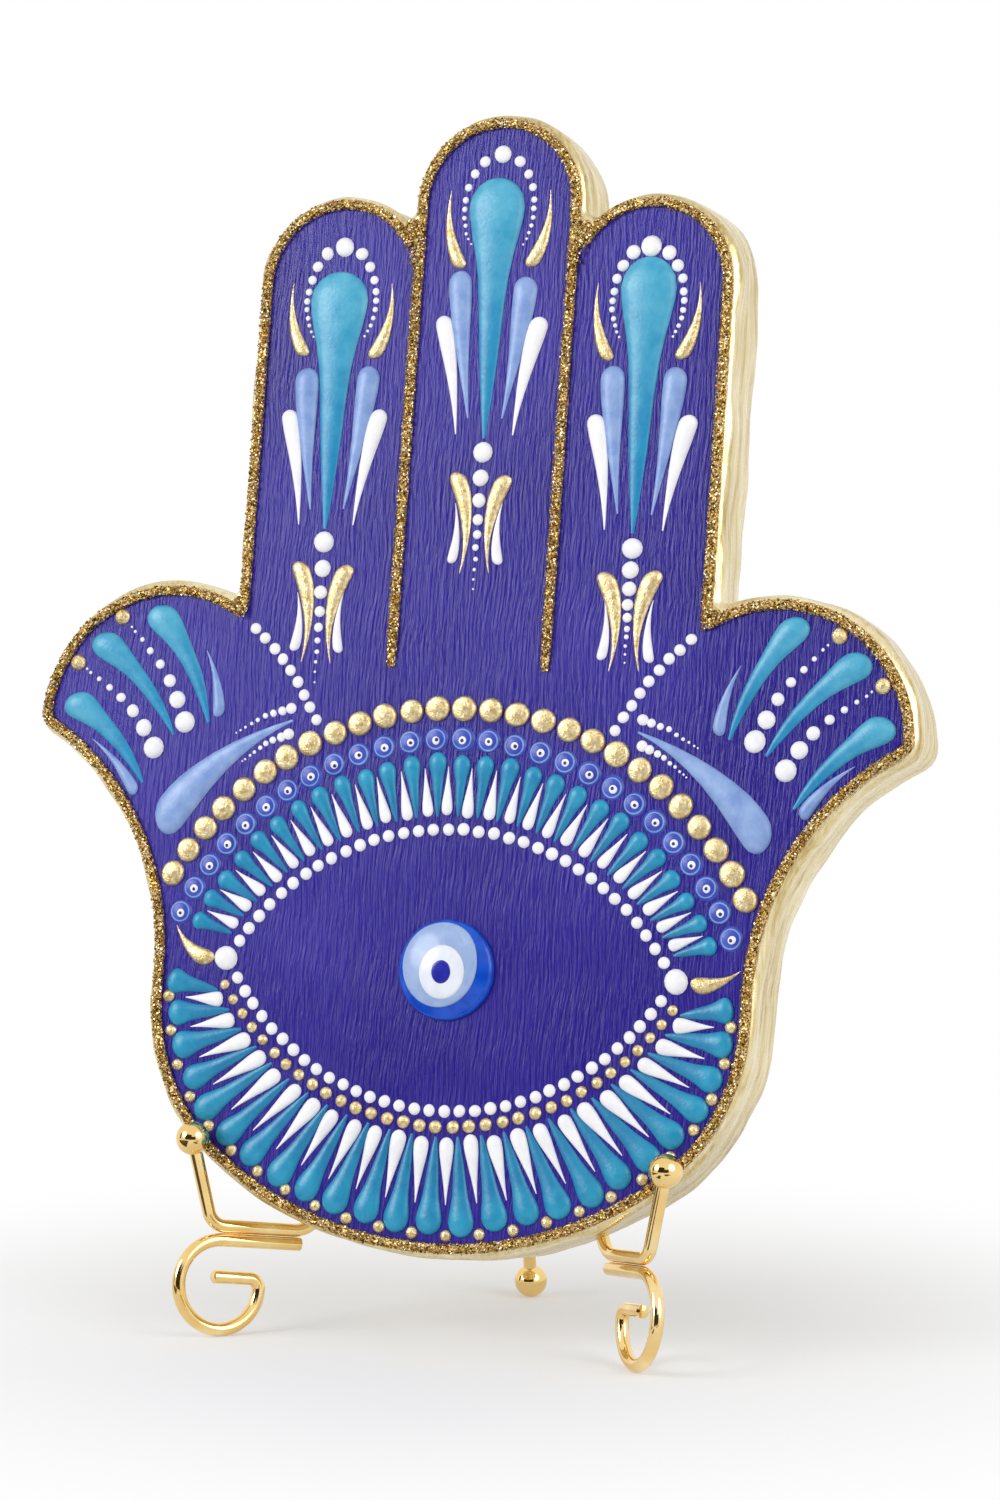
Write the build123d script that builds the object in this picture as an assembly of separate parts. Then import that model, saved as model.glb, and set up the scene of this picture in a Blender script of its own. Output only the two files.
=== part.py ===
from build123d import *
import os
from math import acos, asin, atan2, cos, degrees, hypot, radians, sin, sqrt, tan

# Hamsa hand ornament leaning on a folding wire easel.
# Millimetres, +Z up, the painted face looks towards -Y.
# The origin is on the floor, under the middle of the whole ornament.

os.makedirs("parts", exist_ok=True)

# Hand: the bead line drawn round the face, with heights from its lowest point
finger_width = 29.3
middle_finger_top = 200.0
outer_finger_top = 185.5
thumb_radius = 24.2
thumb_centre_side = 57.6
thumb_centre_height = 90.5
palm_half_width = 55.6
palm_bottom_radius = 70.0
palm_corner_radius = 35.4
waist_length = 5.1
board_thickness = 13.0
edge_round = 2.0
edge_flat = 0.04
thumb_overlap = 3.7
thumb_tip_round = 2.5
notch_round = 1.2

# Glitter bead on the face
bead_width = 2.3
bead_height = 1.0
bead_round = 0.7
finger_line_bottom = 102.0
finger_line_gap = 0.4
line_taper = 9.0
line_end_width = 1.0
line_round = 0.45

# Glass eye glued to the middle of the painted eye
eye_height = 49.5
glass_diameter = 17.6
glass_height = 3.0
glass_rim = 0.8
pale_diameter = 13.4
pale_shift = 0.9
white_diameter = 8.4
pupil_diameter = 4.0
layer_step = 0.45

# Raised paint: heights above the face, slopes of the sides and the facets of a dot
dot_rise = 0.22
dot_slope = 40.0
dot_sides = 8
drop_height = 0.8
drop_slope = 30.0
head_facet = 57.0
disc_height = 0.5

# Painted eye: outline of dots, row of small eyes, arc of gold dots and the rays between them
outline_half_height = 24.8
outline_rise = 21.5
outline_inset = 12.0
outline_count = 34
outline_dot = 2.1
corner_dot = 4.3
corner_reach = 2.6
row_rise = 32.9
row_dot = 3.4
row_pitch = 5.6
gold_rise = 31.4
gold_count = 27
gold_dot = 4.1
ray_band = 16.0
ray_gap = 2.2
ray_count = 21
ray_width = 3.4
fan_margin = 2.0
fan_bulge = 2.4
fan_count = 23
fan_width = 4.4
white_width = 2.2
white_share = 0.65

# Fingers and thumbs: drops from tip to head, dots in shrinking rows
finger_drop_length = 42.5
finger_drop_width = 9.7
crown_reach = 7.6
crown_dot = 3.2
crown_turn = 27.0
crown_pairs = 4
column_start = 45.2
column_dot = 4.2
column_count = 6
row_shrink = 0.8
row_spread = 1.25
thumb_margin = 3.0
thumb_head_turn = 80.0
thumb_drop_turn = 236.0
thumb_drop_length = 21.0
thumb_drop_width = 4.6
thumb_gold_dot = 2.8
thumb_row_dot = 3.4
thumb_row_count = 5
side_drop_length = 29.5
side_drop_width = 4.6
side_drop_overhang = 5.0
side_drop_gap = 2.2

# Easel wire and balls
wire_diameter = 2.4
ball_diameter = 6.0
lean = 10.75
splay = 42.0
arm_height = 19.6
hook_half_span = 44.5
hook_rise = 15.2
prong_lean = 18.0
hook_bend = 3.4
back_bend = 5.0
frame_rise = 118.0
arch_radius = 7.0

# Scroll feet
scroll_radius = 8.1
scroll_inner_radius = 7.4
scroll_setback = 2.5
scroll_hook_radius = 1.9
scroll_tip = 7.0
run_tail = 3.0

# Rear leg and its hinge
hinge_rise = 80.0
hinge_overhang = 1.5
leg_open_angle = 20.5
leg_bend = 8.0
leg_tail_over = 2.5
sleeve_wall = 0.9
sleeve_end_gap = 0.6
braze_depth = 0.35

# Clearances
rest_gap = 0.2
hook_gap = 0.4
weld_gap = 0.05
stop_gap = 0.15
hinge_clearance = 0.06
bore_clearance = 0.03
paint_gap = 0.6

# Search for the height at which the arms carry the hand
seat_steps = 1600
seat_tolerance = 0.001

# Palm corner: an arc that runs from the round bottom into the straight waist
corner_side = palm_half_width - palm_corner_radius
corner_turn = degrees(asin(corner_side / (palm_bottom_radius - palm_corner_radius)))
corner_height = palm_bottom_radius - (palm_bottom_radius - palm_corner_radius) * cos(radians(corner_turn))
waist_height = corner_height + waist_length

# Hollow under the thumb: an arc that leaves the waist upright and ends at the thumb's tip
tip_out = thumb_centre_side + thumb_radius - palm_half_width
tip_up = thumb_centre_height - waist_height
hollow_radius = (tip_out**2 + tip_up**2) / (2 * tip_out)
hollow = (palm_half_width + hollow_radius, waist_height)
thumb = (thumb_centre_side, thumb_centre_height)

# Derived sizes
wire_radius = wire_diameter / 2
ball_radius = ball_diameter / 2
finger_radius = finger_width / 2
finger_edge = 1.5 * finger_width
outer_centre = outer_finger_top - finger_radius
middle_centre = middle_finger_top - finger_radius
lean_sin = sin(radians(lean))
lean_cos = cos(radians(lean))
splay_sin = sin(radians(splay))
splay_cos = cos(radians(splay))
face_offset = wire_radius + rest_gap + board_thickness

# Hook, square to the leaning back: the ball stands clear of the bead, the arm slopes down to the bend
prong_reach = hook_rise * tan(radians(prong_lean))
ball_ahead = face_offset + bead_height + hook_gap + ball_radius
arm_length = ball_ahead / splay_cos - prong_reach
bend_half_span = hook_half_span - (arm_length + prong_reach) * splay_sin
arm_slope = splay_cos * lean_sin
bend_height = arm_height - arm_length * arm_slope

# Scroll: its lowest point touches the floor, the shoulder joins it to the run under the arm
scroll_centre = arm_length - scroll_setback
scroll_depth = scroll_inner_radius * hypot(arm_slope, lean_cos)
scroll_inner_up = (wire_radius - bend_height - scroll_centre * arm_slope + scroll_depth) / lean_cos
scroll_up = scroll_inner_up - scroll_inner_radius + scroll_radius
run_up = -wire_diameter - weld_gap
shoulder_radius = run_up - scroll_up

# Leg: from the hinge bar down to a ball on the floor
bar_back = wire_diameter + weld_gap
sleeve_bore = wire_radius + hinge_clearance
sleeve_radius = sleeve_bore + sleeve_wall
leg_back = bar_back + sleeve_radius + wire_radius - braze_depth
leg_slope = radians(leg_open_angle - lean)
leg_top_y = hinge_rise * lean_sin + leg_back * lean_cos
leg_top_z = bend_height + hinge_rise * lean_cos - leg_back * lean_sin
leg_foot_y = leg_top_y + (leg_top_z - ball_radius) * tan(leg_slope)

# The bend's place along Y puts the origin midway between the scrolls and the rear ball
arm_forward = splay_cos * lean_cos
scroll_reach = scroll_radius * hypot(arm_forward, lean_sin) + wire_radius
front_y = scroll_up * lean_sin - scroll_centre * arm_forward - scroll_reach
rear_y = leg_foot_y + ball_radius
bend_y = -(front_y + rear_y) / 2


def lean_point(side, up, back):
    """A point by its place on the leaning back of the easel."""
    y = bend_y + up * lean_sin + back * lean_cos
    z = bend_height + up * lean_cos - back * lean_sin
    return Vector(side, y, z)


def circle_crossing(c1, r1, c2, r2):
    """The crossing of two circles that lies to the right of the line from c1 to c2."""
    dx = c2[0] - c1[0]
    dy = c2[1] - c1[1]
    gap = hypot(dx, dy)
    along = (gap**2 + r1**2 - r2**2) / (2 * gap)
    across = sqrt(r1**2 - along**2)
    x = c1[0] + (along * dx + across * dy) / gap
    y = c1[1] + (along * dy - across * dx) / gap
    return (x, y)


def polar(centre, reach, turn):
    return (centre[0] + reach * cos(radians(turn)), centre[1] + reach * sin(radians(turn)))


def angle_from(centre, point):
    return degrees(atan2(point[1] - centre[1], point[0] - centre[0]))


def palm_half(grow):
    """Right half of the palm with its thumb, grown outwards from the bead line."""
    corner = (corner_side, corner_height)
    tip = circle_crossing(hollow, hollow_radius - grow, thumb, thumb_radius + grow)
    hollow_turn = angle_from(hollow, tip) - 180
    tip_angle = angle_from(thumb, tip)
    inner_side = finger_edge - thumb_overlap - thumb_centre_side
    inner_angle = degrees(acos(inner_side / (thumb_radius + grow)))
    top = polar(thumb, thumb_radius + grow, inner_angle)
    side = palm_half_width + grow
    bottom_arc = CenterArc((0, palm_bottom_radius), palm_bottom_radius + grow, -90, corner_turn)
    corner_arc = CenterArc(corner, palm_corner_radius + grow, corner_turn - 90, 90 - corner_turn)
    waist = Line((side, corner_height), (side, waist_height))
    hollow_arc = CenterArc(hollow, hollow_radius - grow, 180, hollow_turn)
    thumb_arc = CenterArc(thumb, thumb_radius + grow, tip_angle, inner_angle - tip_angle)
    across = Line(top, (0, top[1]))
    middle = Line((0, top[1]), (0, -grow))
    half = make_face([bottom_arc, corner_arc, waist, hollow_arc, thumb_arc, across, middle])
    return half, tip


def round_corners(outline, places, radius):
    """Rounds the corner nearest to each place and to its mirror image."""
    for place in places:
        for side in (1, -1):
            target = Vector(side * place[0], place[1], 0)
            corner = min(outline.vertices(), key=lambda v: (v.center() - target).length)
            outline = fillet(corner, radius)
    return outline


def hand_outline(grow, notched=True):
    """The hand's outline, grown outwards from the bead line."""
    half, tip = palm_half(grow)
    palm = half + mirror(half, about=Plane.YZ)
    knuckles = Pos(0, (waist_height + outer_centre) / 2) * Rectangle(
        2 * (finger_edge + grow), outer_centre - waist_height
    )
    middle = Pos(0, (waist_height + middle_centre) / 2) * Rectangle(
        finger_width + 2 * grow, middle_centre - waist_height
    )
    outline = palm + knuckles + middle
    outline += Pos(0, middle_centre) * Circle(finger_radius + grow)
    for side in (-1, 1):
        outline += Pos(side * finger_width, outer_centre) * Circle(finger_radius + grow)
    outline = round_corners(outline, [tip], thumb_tip_round + grow)
    if notched:
        web_out = finger_edge + grow - thumb_centre_side
        web = (
            finger_edge + grow,
            thumb_centre_height + sqrt((thumb_radius + grow) ** 2 - web_out**2),
        )
        notch = (
            finger_radius + grow,
            outer_centre + 2 * sqrt(finger_radius * grow),
        )
        outline = round_corners(outline, [web, notch], notch_round)
    return outline


def hand_board():
    """Thick board with its front and back edges rounded to the bead line."""
    board = extrude(hand_outline(edge_round), -board_thickness)
    ends = board.edges().filter_by(Plane.XY)
    return fillet(ends, edge_round - edge_flat)


def glitter_rim():
    """Bead of glitter glue round the face, moulded to the rounded edge of the board."""
    half = bead_width / 2
    ring = hand_outline(half) - hand_outline(-half, notched=False)
    rim = Pos(0, 0, -edge_round) * extrude(ring, edge_round + bead_height)
    crown = rim.edges().group_by(Axis.Z)[-1]
    rim = fillet(crown, bead_round)
    return rim - hand_board()


def finger_line():
    """Glitter line between two fingers, running out to a fine end at the bottom."""
    half = bead_width / 2
    top = outer_centre - finger_line_gap
    taper = finger_line_bottom + line_taper
    strip = Polygon(
        (-half, top),
        (-half, taper),
        (-line_end_width / 2, finger_line_bottom),
        (line_end_width / 2, finger_line_bottom),
        (half, taper),
        (half, top),
        align=None,
    )
    line = extrude(strip, bead_height)
    sides = line.edges().group_by(Axis.Z)[-1]
    return fillet(sides, line_round)


def glass_layers():
    """Domed glass disc with a pale layer, a white layer and a pupil melted onto it."""
    crown = glass_height - glass_rim
    ball = ((glass_diameter / 2) ** 2 + crown**2) / (2 * crown)
    centre = Pos(0, eye_height, glass_height - ball)
    disc = Pos(0, eye_height, glass_height / 2) * Cylinder(glass_diameter / 2, glass_height)
    layers = {"eye_glass": disc & centre * Sphere(ball)}
    spots = [
        ("eye_pale_layer", pale_diameter, pale_shift),
        ("eye_white_layer", white_diameter, 0),
        ("eye_pupil", pupil_diameter, 0),
    ]
    for name, diameter, shift in spots:
        shell = centre * Sphere(ball + layer_step) - centre * Sphere(ball)
        punch = Pos(0, eye_height + shift, glass_height) * Cylinder(diameter / 2, glass_diameter)
        layers[name] = shell & punch
        ball += layer_step
    return layers


def wire(path):
    """Round wire along a path of straight runs and tangent arcs."""
    section = Plane(origin=path @ 0, z_dir=path % 0) * Circle(wire_radius)
    return sweep(section, path=path)


# Plane of the right-hand hook and foot: across runs out along the arm, up follows the leaning back
side_plane = Plane(
    origin=lean_point(bend_half_span, 0, 0),
    x_dir=(splay_sin, -splay_cos * lean_cos, splay_cos * lean_sin),
    z_dir=(-splay_cos, -splay_sin * lean_cos, splay_sin * lean_sin),
)


def side_point(across, up):
    return side_plane.from_local_coords(Vector(across, up, 0))


def upright_top():
    """Where the straight upright runs into the arch at the top of the back."""
    arch_centre = frame_rise - arch_radius
    distance = hypot(bend_half_span, arch_centre)
    heading = atan2(arch_centre, -bend_half_span) - atan2(
        arch_radius, sqrt(distance**2 - arch_radius**2)
    )
    length = sqrt(distance**2 - arch_radius**2)
    return (bend_half_span + length * cos(heading), length * sin(heading))


def upright_half_span(rise):
    top_side, top_rise = upright_top()
    return bend_half_span + (top_side - bend_half_span) * rise / top_rise


def side_wire_path():
    """Ball end, prong, arm under the hand, upright behind it and half of the top arch."""
    top_side, top_rise = upright_top()
    arch_centre = frame_rise - arch_radius
    half_turn = (atan2(top_rise - arch_centre, top_side) + radians(90)) / 2
    runs = FilletPolyline(
        side_point(arm_length + prong_reach, hook_rise),
        side_point(arm_length, 0),
        side_point(0, 0),
        lean_point(top_side, top_rise, 0),
        radius=[hook_bend, back_bend],
    )
    arch = ThreePointArc(
        lean_point(top_side, top_rise, 0),
        lean_point(
            arch_radius * cos(half_turn), arch_centre + arch_radius * sin(half_turn), 0
        ),
        lean_point(0, frame_rise, 0),
    )
    return Wire(runs.edges() + arch.edges())


def scroll_foot():
    """Foot wire: a run welded under the arm, then a scroll that ends in a short tip."""
    shoulder_start = scroll_centre + scroll_radius - shoulder_radius
    tip_start = scroll_centre - scroll_inner_radius + scroll_hook_radius
    tip_up = scroll_inner_up + scroll_hook_radius
    path = Line((run_tail, run_up), (shoulder_start, run_up))
    path += CenterArc((shoulder_start, scroll_up), shoulder_radius, 90, -90)
    path += CenterArc((scroll_centre, scroll_up), scroll_radius, 0, -90)
    path += CenterArc((scroll_centre, scroll_inner_up), scroll_inner_radius, -90, -90)
    path += CenterArc((tip_start, scroll_inner_up), scroll_hook_radius, 180, -90)
    path += Line((tip_start, tip_up), (tip_start + scroll_tip, tip_up))
    return wire(Wire((side_plane * path).edges()))


def ball_on(wire_end, along):
    """Ball drilled to take a wire that reaches its centre; along points out of the ball."""
    drill = Plane(origin=wire_end, z_dir=along)
    upright = (Align.CENTER, Align.CENTER, Align.MIN)
    bore = Cylinder(wire_radius + bore_clearance, ball_diameter, align=upright)
    start = Pos(0, 0, -bore_clearance)
    return Pos(wire_end) * Sphere(ball_radius) - drill * start * bore


def hand_seat(path):
    """Height up the easel's back at which the arms carry the sliding hand."""
    reach = edge_round + wire_radius + rest_gap
    core_back = -reach
    core_front = edge_round - face_offset
    places = []
    for step in range(seat_steps + 1):
        point = path @ (step / seat_steps)
        dy = point.Y - bend_y
        dz = point.Z - bend_height
        up = dy * lean_sin + dz * lean_cos
        back = dy * lean_cos - dz * lean_sin
        places.append((point.X, up, max(back - core_back, core_front - back, 0)))
    low = -palm_bottom_radius
    high = palm_bottom_radius
    while high - low > seat_tolerance:
        seat = (low + high) / 2
        gaps = (
            hypot(max(hypot(x, seat + palm_bottom_radius - up) - palm_bottom_radius, 0), off)
            for x, up, off in places
            if up < seat + palm_bottom_radius
        )
        if min(gaps) < reach - seat_tolerance:
            low = seat
        else:
            high = seat
    return high


def rear_leg_path():
    """Leg wire in the middle plane: stop tail behind the arch, bend, then down to the ball."""
    stop_back = wire_diameter + stop_gap
    tail_slope = (leg_back - stop_back) / (frame_rise - hinge_rise)
    runs = FilletPolyline(
        lean_point(0, frame_rise + leg_tail_over, stop_back - tail_slope * leg_tail_over),
        lean_point(0, hinge_rise, leg_back),
        (0, bend_y + leg_foot_y, ball_radius),
        radius=leg_bend,
    )
    return Wire(runs.edges())


def along_bar(solid):
    """Turns a solid from the Z axis onto the hinge bar's axis."""
    place = lean_point(0, hinge_rise, bar_back)
    return Pos(place) * Rot(0, 90, 0) * solid


def arc_radius(arc):
    half_span, crest, rise = arc
    return (half_span**2 + rise**2) / (2 * rise)


def grown(arc, gap):
    """The arc moved outwards from its centre by a gap."""
    half_span, crest, rise = arc
    share = 1 + gap / abs(arc_radius(arc))
    return (half_span * share, crest + gap * rise / abs(rise), rise * share)


def on_arc(arc, count):
    """Evenly spaced places on an arc given by its half span, crest and rise above its ends."""
    half_span, crest, rise = arc
    radius = arc_radius(arc)
    reach = 2 * atan2(abs(rise), half_span)
    places = []
    for step in range(count):
        turn = reach * (2 * step / (count - 1) - 1)
        places.append((abs(radius) * sin(turn), crest - radius + radius * cos(turn)))
    return places


def between(places):
    """The places midway between neighbours."""
    return [((a[0] + b[0]) / 2, (a[1] + b[1]) / 2) for a, b in zip(places, places[1:])]


def both_sides(places):
    return [(side * x, y) for x, y in places for side in (-1, 1)]


def mirrored(solids):
    return solids + [mirror(solid, about=Plane.YZ) for solid in solids]


def dots(places, diameter):
    """Small raised dots with sloping sides."""
    master = extrude(RegularPolygon(diameter / 2, dot_sides), dot_rise * diameter, taper=dot_slope)
    return [Pos(x, y) * master for x, y in places]


def discs(places, diameter):
    master = extrude(RegularPolygon(diameter / 2, dot_sides), disc_height)
    return [Pos(x, y) * master for x, y in places]


def drop(tip, head, width):
    """Raised drop of paint from its fine tip to the far side of its round head."""
    radius = width / 2
    length = hypot(head[0] - tip[0], head[1] - tip[1])
    points = [(0, 0)]
    for step in range(-2, 3):
        turn = radians(step * head_facet)
        points.append((length - radius + radius * cos(turn), radius * sin(turn)))
    blank = extrude(Polygon(*points, align=None), drop_height, taper=drop_slope)
    return Pos(tip[0], tip[1]) * Rot(0, 0, angle_from(tip, head)) * blank


def drops(tips, heads, width):
    return [drop(tip, head, width) for tip, head in zip(tips, heads)]


def white_drops(tips, heads):
    """Shorter drops that fill the gaps between rays, with their heads towards the eye."""
    white = []
    for head, far in zip(between(tips), between(heads)):
        x = head[0] + (far[0] - head[0]) * white_share
        y = head[1] + (far[1] - head[1]) * white_share
        white.append(drop((x, y), head, white_width))
    return white


def shrinking_row(start, heading, diameter, count):
    """Row of dots that grow smaller and closer together along a heading."""
    row = []
    along = 0
    for step in range(count):
        size = diameter * row_shrink**step
        row += dots([polar(start, along, heading)], size)
        along += size * row_spread
    return row


def painted_eye():
    """Dotted outline, row of small eyes, gold arc, and the rays above and below the eye."""
    inner_edge = palm_half_width - bead_width / 2 - paint_gap
    row_span = inner_edge - row_dot / 2
    eye_span = row_span - outline_inset
    upper = (eye_span, eye_height + outline_half_height, outline_rise)
    lower = (eye_span, eye_height - outline_half_height, -outline_rise)
    row = (row_span, upper[1] + ray_band, row_rise)
    gold = (row_span + gold_dot / 2, row[1] + row_pitch, gold_rise)
    rim = bead_width / 2 + fan_margin
    fan = (inner_edge - fan_bulge, rim, rim + fan_margin - corner_height)

    outline = on_arc(upper, outline_count) + on_arc(lower, outline_count)
    corners = both_sides([(eye_span + corner_reach, eye_height)])
    paint = {"eye_outline_dots": dots(outline, outline_dot) + dots(corners, corner_dot)}
    paint["eye_row_dots"] = discs(on_arc(row, gold_count), row_dot)
    paint["gold_arc_dots"] = dots(on_arc(gold, gold_count), gold_dot)
    tips = on_arc(grown(upper, ray_gap), ray_count)
    heads = on_arc(grown(row, -ray_gap), ray_count)
    paint["upper_rays"] = drops(tips, heads, ray_width)
    paint["upper_white_drops"] = white_drops(tips, heads)
    tips = on_arc(grown(lower, ray_gap), fan_count)
    heads = on_arc(fan, fan_count)
    paint["lower_rays"] = drops(tips, heads, fan_width)
    paint["lower_white_drops"] = white_drops(tips, heads)

    middle = (0, gold[1] - arc_radius(gold))
    reach = arc_radius(gold) + gold_dot / 2 + side_drop_gap
    head_reach = reach + side_drop_width / 2
    head = polar(middle, head_reach, degrees(acos((row_span + side_drop_overhang) / head_reach)))
    tip = polar(middle, reach, angle_from(middle, head) + degrees(side_drop_length / reach))
    paint["palm_side_drops"] = mirrored([drop(tip, head, side_drop_width)])
    return paint


def finger_paint():
    """Long drop on each finger, dots round its head and a shrinking column below its tip."""
    paint = {"finger_drops": [], "finger_crown_dots": [], "finger_column_dots": []}
    fingers = both_sides([(finger_width, outer_centre)]) + [(0, middle_centre)]
    for side, centre in fingers:
        tip = (side, centre - finger_drop_length)
        head = (side, centre + finger_drop_width / 2)
        paint["finger_drops"].append(drop(tip, head, finger_drop_width))
        column = (side, centre - column_start)
        paint["finger_column_dots"] += shrinking_row(column, -90, column_dot, column_count)
        for step in range(-crown_pairs, crown_pairs + 1):
            place = polar((side, centre), crown_reach, 90 + step * crown_turn)
            paint["finger_crown_dots"] += dots([place], crown_dot * row_shrink ** abs(step))
    return paint


def thumb_paint():
    """Drops that fan out over each thumb, gold dots between their heads and rows of white dots."""
    head_reach = thumb_radius - bead_width / 2 - thumb_margin
    first = polar(thumb, head_reach, thumb_head_turn)
    lane = hollow_radius + bead_width / 2 + thumb_margin
    last = circle_crossing(hollow, lane, thumb, head_reach)
    middle = polar(thumb, head_reach, (thumb_head_turn + angle_from(thumb, last)) / 2)
    first_tip = polar(first, thumb_drop_length, thumb_drop_turn)
    last_tip = polar(hollow, lane, angle_from(hollow, last) + degrees(thumb_drop_length / lane))
    heads = [first, middle, last]
    tips = [first_tip, between([first_tip, last_tip])[0], last_tip]
    gold_reach = thumb_radius - bead_width / 2 - paint_gap - thumb_gold_dot / 2
    gold = [polar(thumb, gold_reach, angle_from(thumb, place)) for place in between(heads)]
    rows = []
    for tip, head in zip(between(tips), between(heads)):
        rows += shrinking_row(tip, angle_from(tip, head), thumb_row_dot, thumb_row_count)
    return {
        "thumb_drops": mirrored(drops(tips, heads, thumb_drop_width)),
        "thumb_gold_dots": mirrored(dots(gold, thumb_gold_dot)),
        "thumb_row_dots": mirrored(rows),
    }


nodes = {}

# Easel
side_path = side_wire_path()
nodes["right_side_wire"] = wire(side_path)
nodes["right_scroll_foot"] = scroll_foot()
nodes["right_hook_ball"] = ball_on(side_path @ 0, side_path % 0)
for piece in ("side_wire", "scroll_foot", "hook_ball"):
    nodes["left_" + piece] = mirror(nodes["right_" + piece], about=Plane.YZ)

# Hinge and rear leg
bar_half = upright_half_span(hinge_rise) + wire_radius + hinge_overhang
sleeve_half = upright_half_span(hinge_rise) - wire_radius - sleeve_end_gap
nodes["hinge_bar"] = along_bar(Cylinder(wire_radius, 2 * bar_half))
sleeve_blank = along_bar(Cylinder(sleeve_radius, 2 * sleeve_half))
nodes["leg_sleeve"] = sleeve_blank - along_bar(Cylinder(sleeve_bore, 2 * bar_half))
leg_path = rear_leg_path()
nodes["rear_leg"] = wire(leg_path) - sleeve_blank
nodes["rear_ball"] = ball_on(leg_path @ 1, -(leg_path % 1))

# Hand, built flat on its face plane and then stood on the easel
seat = hand_seat(side_path)
face_plane = Plane(
    origin=lean_point(0, seat, -face_offset),
    x_dir=(1, 0, 0),
    z_dir=(0, -lean_cos, lean_sin),
)
flat = {"hand_board": hand_board(), "glitter_rim": glitter_rim()}
flat["right_finger_line"] = Pos(finger_radius, 0, 0) * finger_line()
flat["left_finger_line"] = Pos(-finger_radius, 0, 0) * finger_line()
flat.update(glass_layers())
paint = painted_eye() | finger_paint() | thumb_paint()
flat.update({name: Compound(solids) for name, solids in paint.items()})
for name, solid in flat.items():
    nodes[name] = face_plane.location * solid

for name, solid in nodes.items():
    export_step(solid, f"parts/{name}.step")
print(f"seat {seat:.2f}, arm {arm_length:.2f}, bend half span {bend_half_span:.2f}, bend y {bend_y:.2f}")
print(f"face origin {face_plane.origin}")
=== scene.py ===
import random
from math import asin, atan2, cos, degrees, dist, hypot, radians, sin, sqrt, tan

import bpy
from mathutils import Euler, Matrix, Vector


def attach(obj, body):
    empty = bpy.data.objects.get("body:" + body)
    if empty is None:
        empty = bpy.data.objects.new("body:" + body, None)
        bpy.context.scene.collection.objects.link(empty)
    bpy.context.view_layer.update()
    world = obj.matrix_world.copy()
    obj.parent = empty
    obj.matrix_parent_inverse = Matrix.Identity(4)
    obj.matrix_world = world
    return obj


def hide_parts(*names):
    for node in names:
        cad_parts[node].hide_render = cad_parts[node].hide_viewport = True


# Painted hamsa hand on a folding wire easel. Metres, +Z up, the painted face looks towards -Y.

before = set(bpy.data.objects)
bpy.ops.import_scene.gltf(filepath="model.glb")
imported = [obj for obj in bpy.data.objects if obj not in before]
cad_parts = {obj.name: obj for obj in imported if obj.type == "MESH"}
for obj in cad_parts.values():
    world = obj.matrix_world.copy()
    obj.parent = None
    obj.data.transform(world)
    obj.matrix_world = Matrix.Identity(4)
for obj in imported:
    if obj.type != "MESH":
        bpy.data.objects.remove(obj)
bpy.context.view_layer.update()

mm = 0.001
# Chance unevenness of handwork, with any_turn for about half a turn either way
hand_of_chance = random.Random(11)
any_turn = 3.1

# ---- sizes, in millimetres as on the drawing; heights on the hand count from the bead line's lowest point

finger_width = 29.3
middle_finger_top = 200.0
outer_finger_top = 185.5
thumb_radius = 24.2
thumb = (57.6, 90.5)
thumb_tip_round = 2.5
palm_half_width = 55.6
palm_bottom_radius = 70.0
palm_corner_radius = 35.4
waist_length = 5.1
board_thickness = 13.0
edge_round = 2.0
notch_round = 1.2
face_border = 0.5
back_border = 2.5
lump_size = 11.0
lump_depth = 1.2
outline_step = 1.3
wall_rows = 6

# Glitter bead, the flakes on it and the glue that pools where two runs meet
bead_half = 1.15
bead_show = 0.92
bead_height = 1.0
bead_foot = -0.5
bead_back_half = bead_show + 0.1
bead_profile = [(0.02, 0.3), (0.12, 0.72), (0.3, 0.95), (0.5, 1.0), (0.7, 0.95), (0.88, 0.72), (0.98, 0.3),
                (1.0, -0.08)]
grit_size = 0.6
flake_radius = 0.2
flake_thickness = 0.05
flake_tilt = 0.6
flakes_in_pinch = 15
pinch_kinds = 6
pinch_half_length = 0.85
rim_pinch_step = 1.5
line_pinch_step = 1.4
finger_line_bottom = 102.0
line_steps = 90
pool_width = 4.0
pool_height = 1.3
pool_sunk = 0.5

# Glass eye
eye_height = 48.7
glass_diameter = 18.6
glass_height = 3.0
glass_rim = 0.8
glass_foot_round = 0.35
glass_rings = 12
cap_rings = 9
cap_pull_turn = radians(52)

# Easel
lean = radians(10.75)
splay = radians(42.0)
wire_radius = 1.2
ball_radius = 3.0
ball_collar_turn = radians(26)
bend_step = radians(7)
arm_height = 19.6
hook_half_span = 44.5
hook_rise = 15.2
prong_lean = radians(18.0)
hook_bend = 3.4
back_bend = 5.0
frame_rise = 118.0
arch_radius = 7.0
scroll_radius = 8.1
scroll_inner_radius = 7.4
scroll_setback = 2.5
scroll_hook_radius = 1.9
scroll_tip = 7.0
run_tail = 3.0
hinge_rise = 80.0
hinge_overhang = 1.5
leg_open = radians(20.5)
leg_bend = 8.0
leg_tail_over = 2.5
sleeve_wall = 0.9
sleeve_end_gap = 0.6
wire_end_length = 0.16
braze_depth = 0.35
rest_gap = 0.2
hook_gap = 0.4
weld_gap = 0.05
stop_gap = 0.15
hinge_clearance = 0.06

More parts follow.
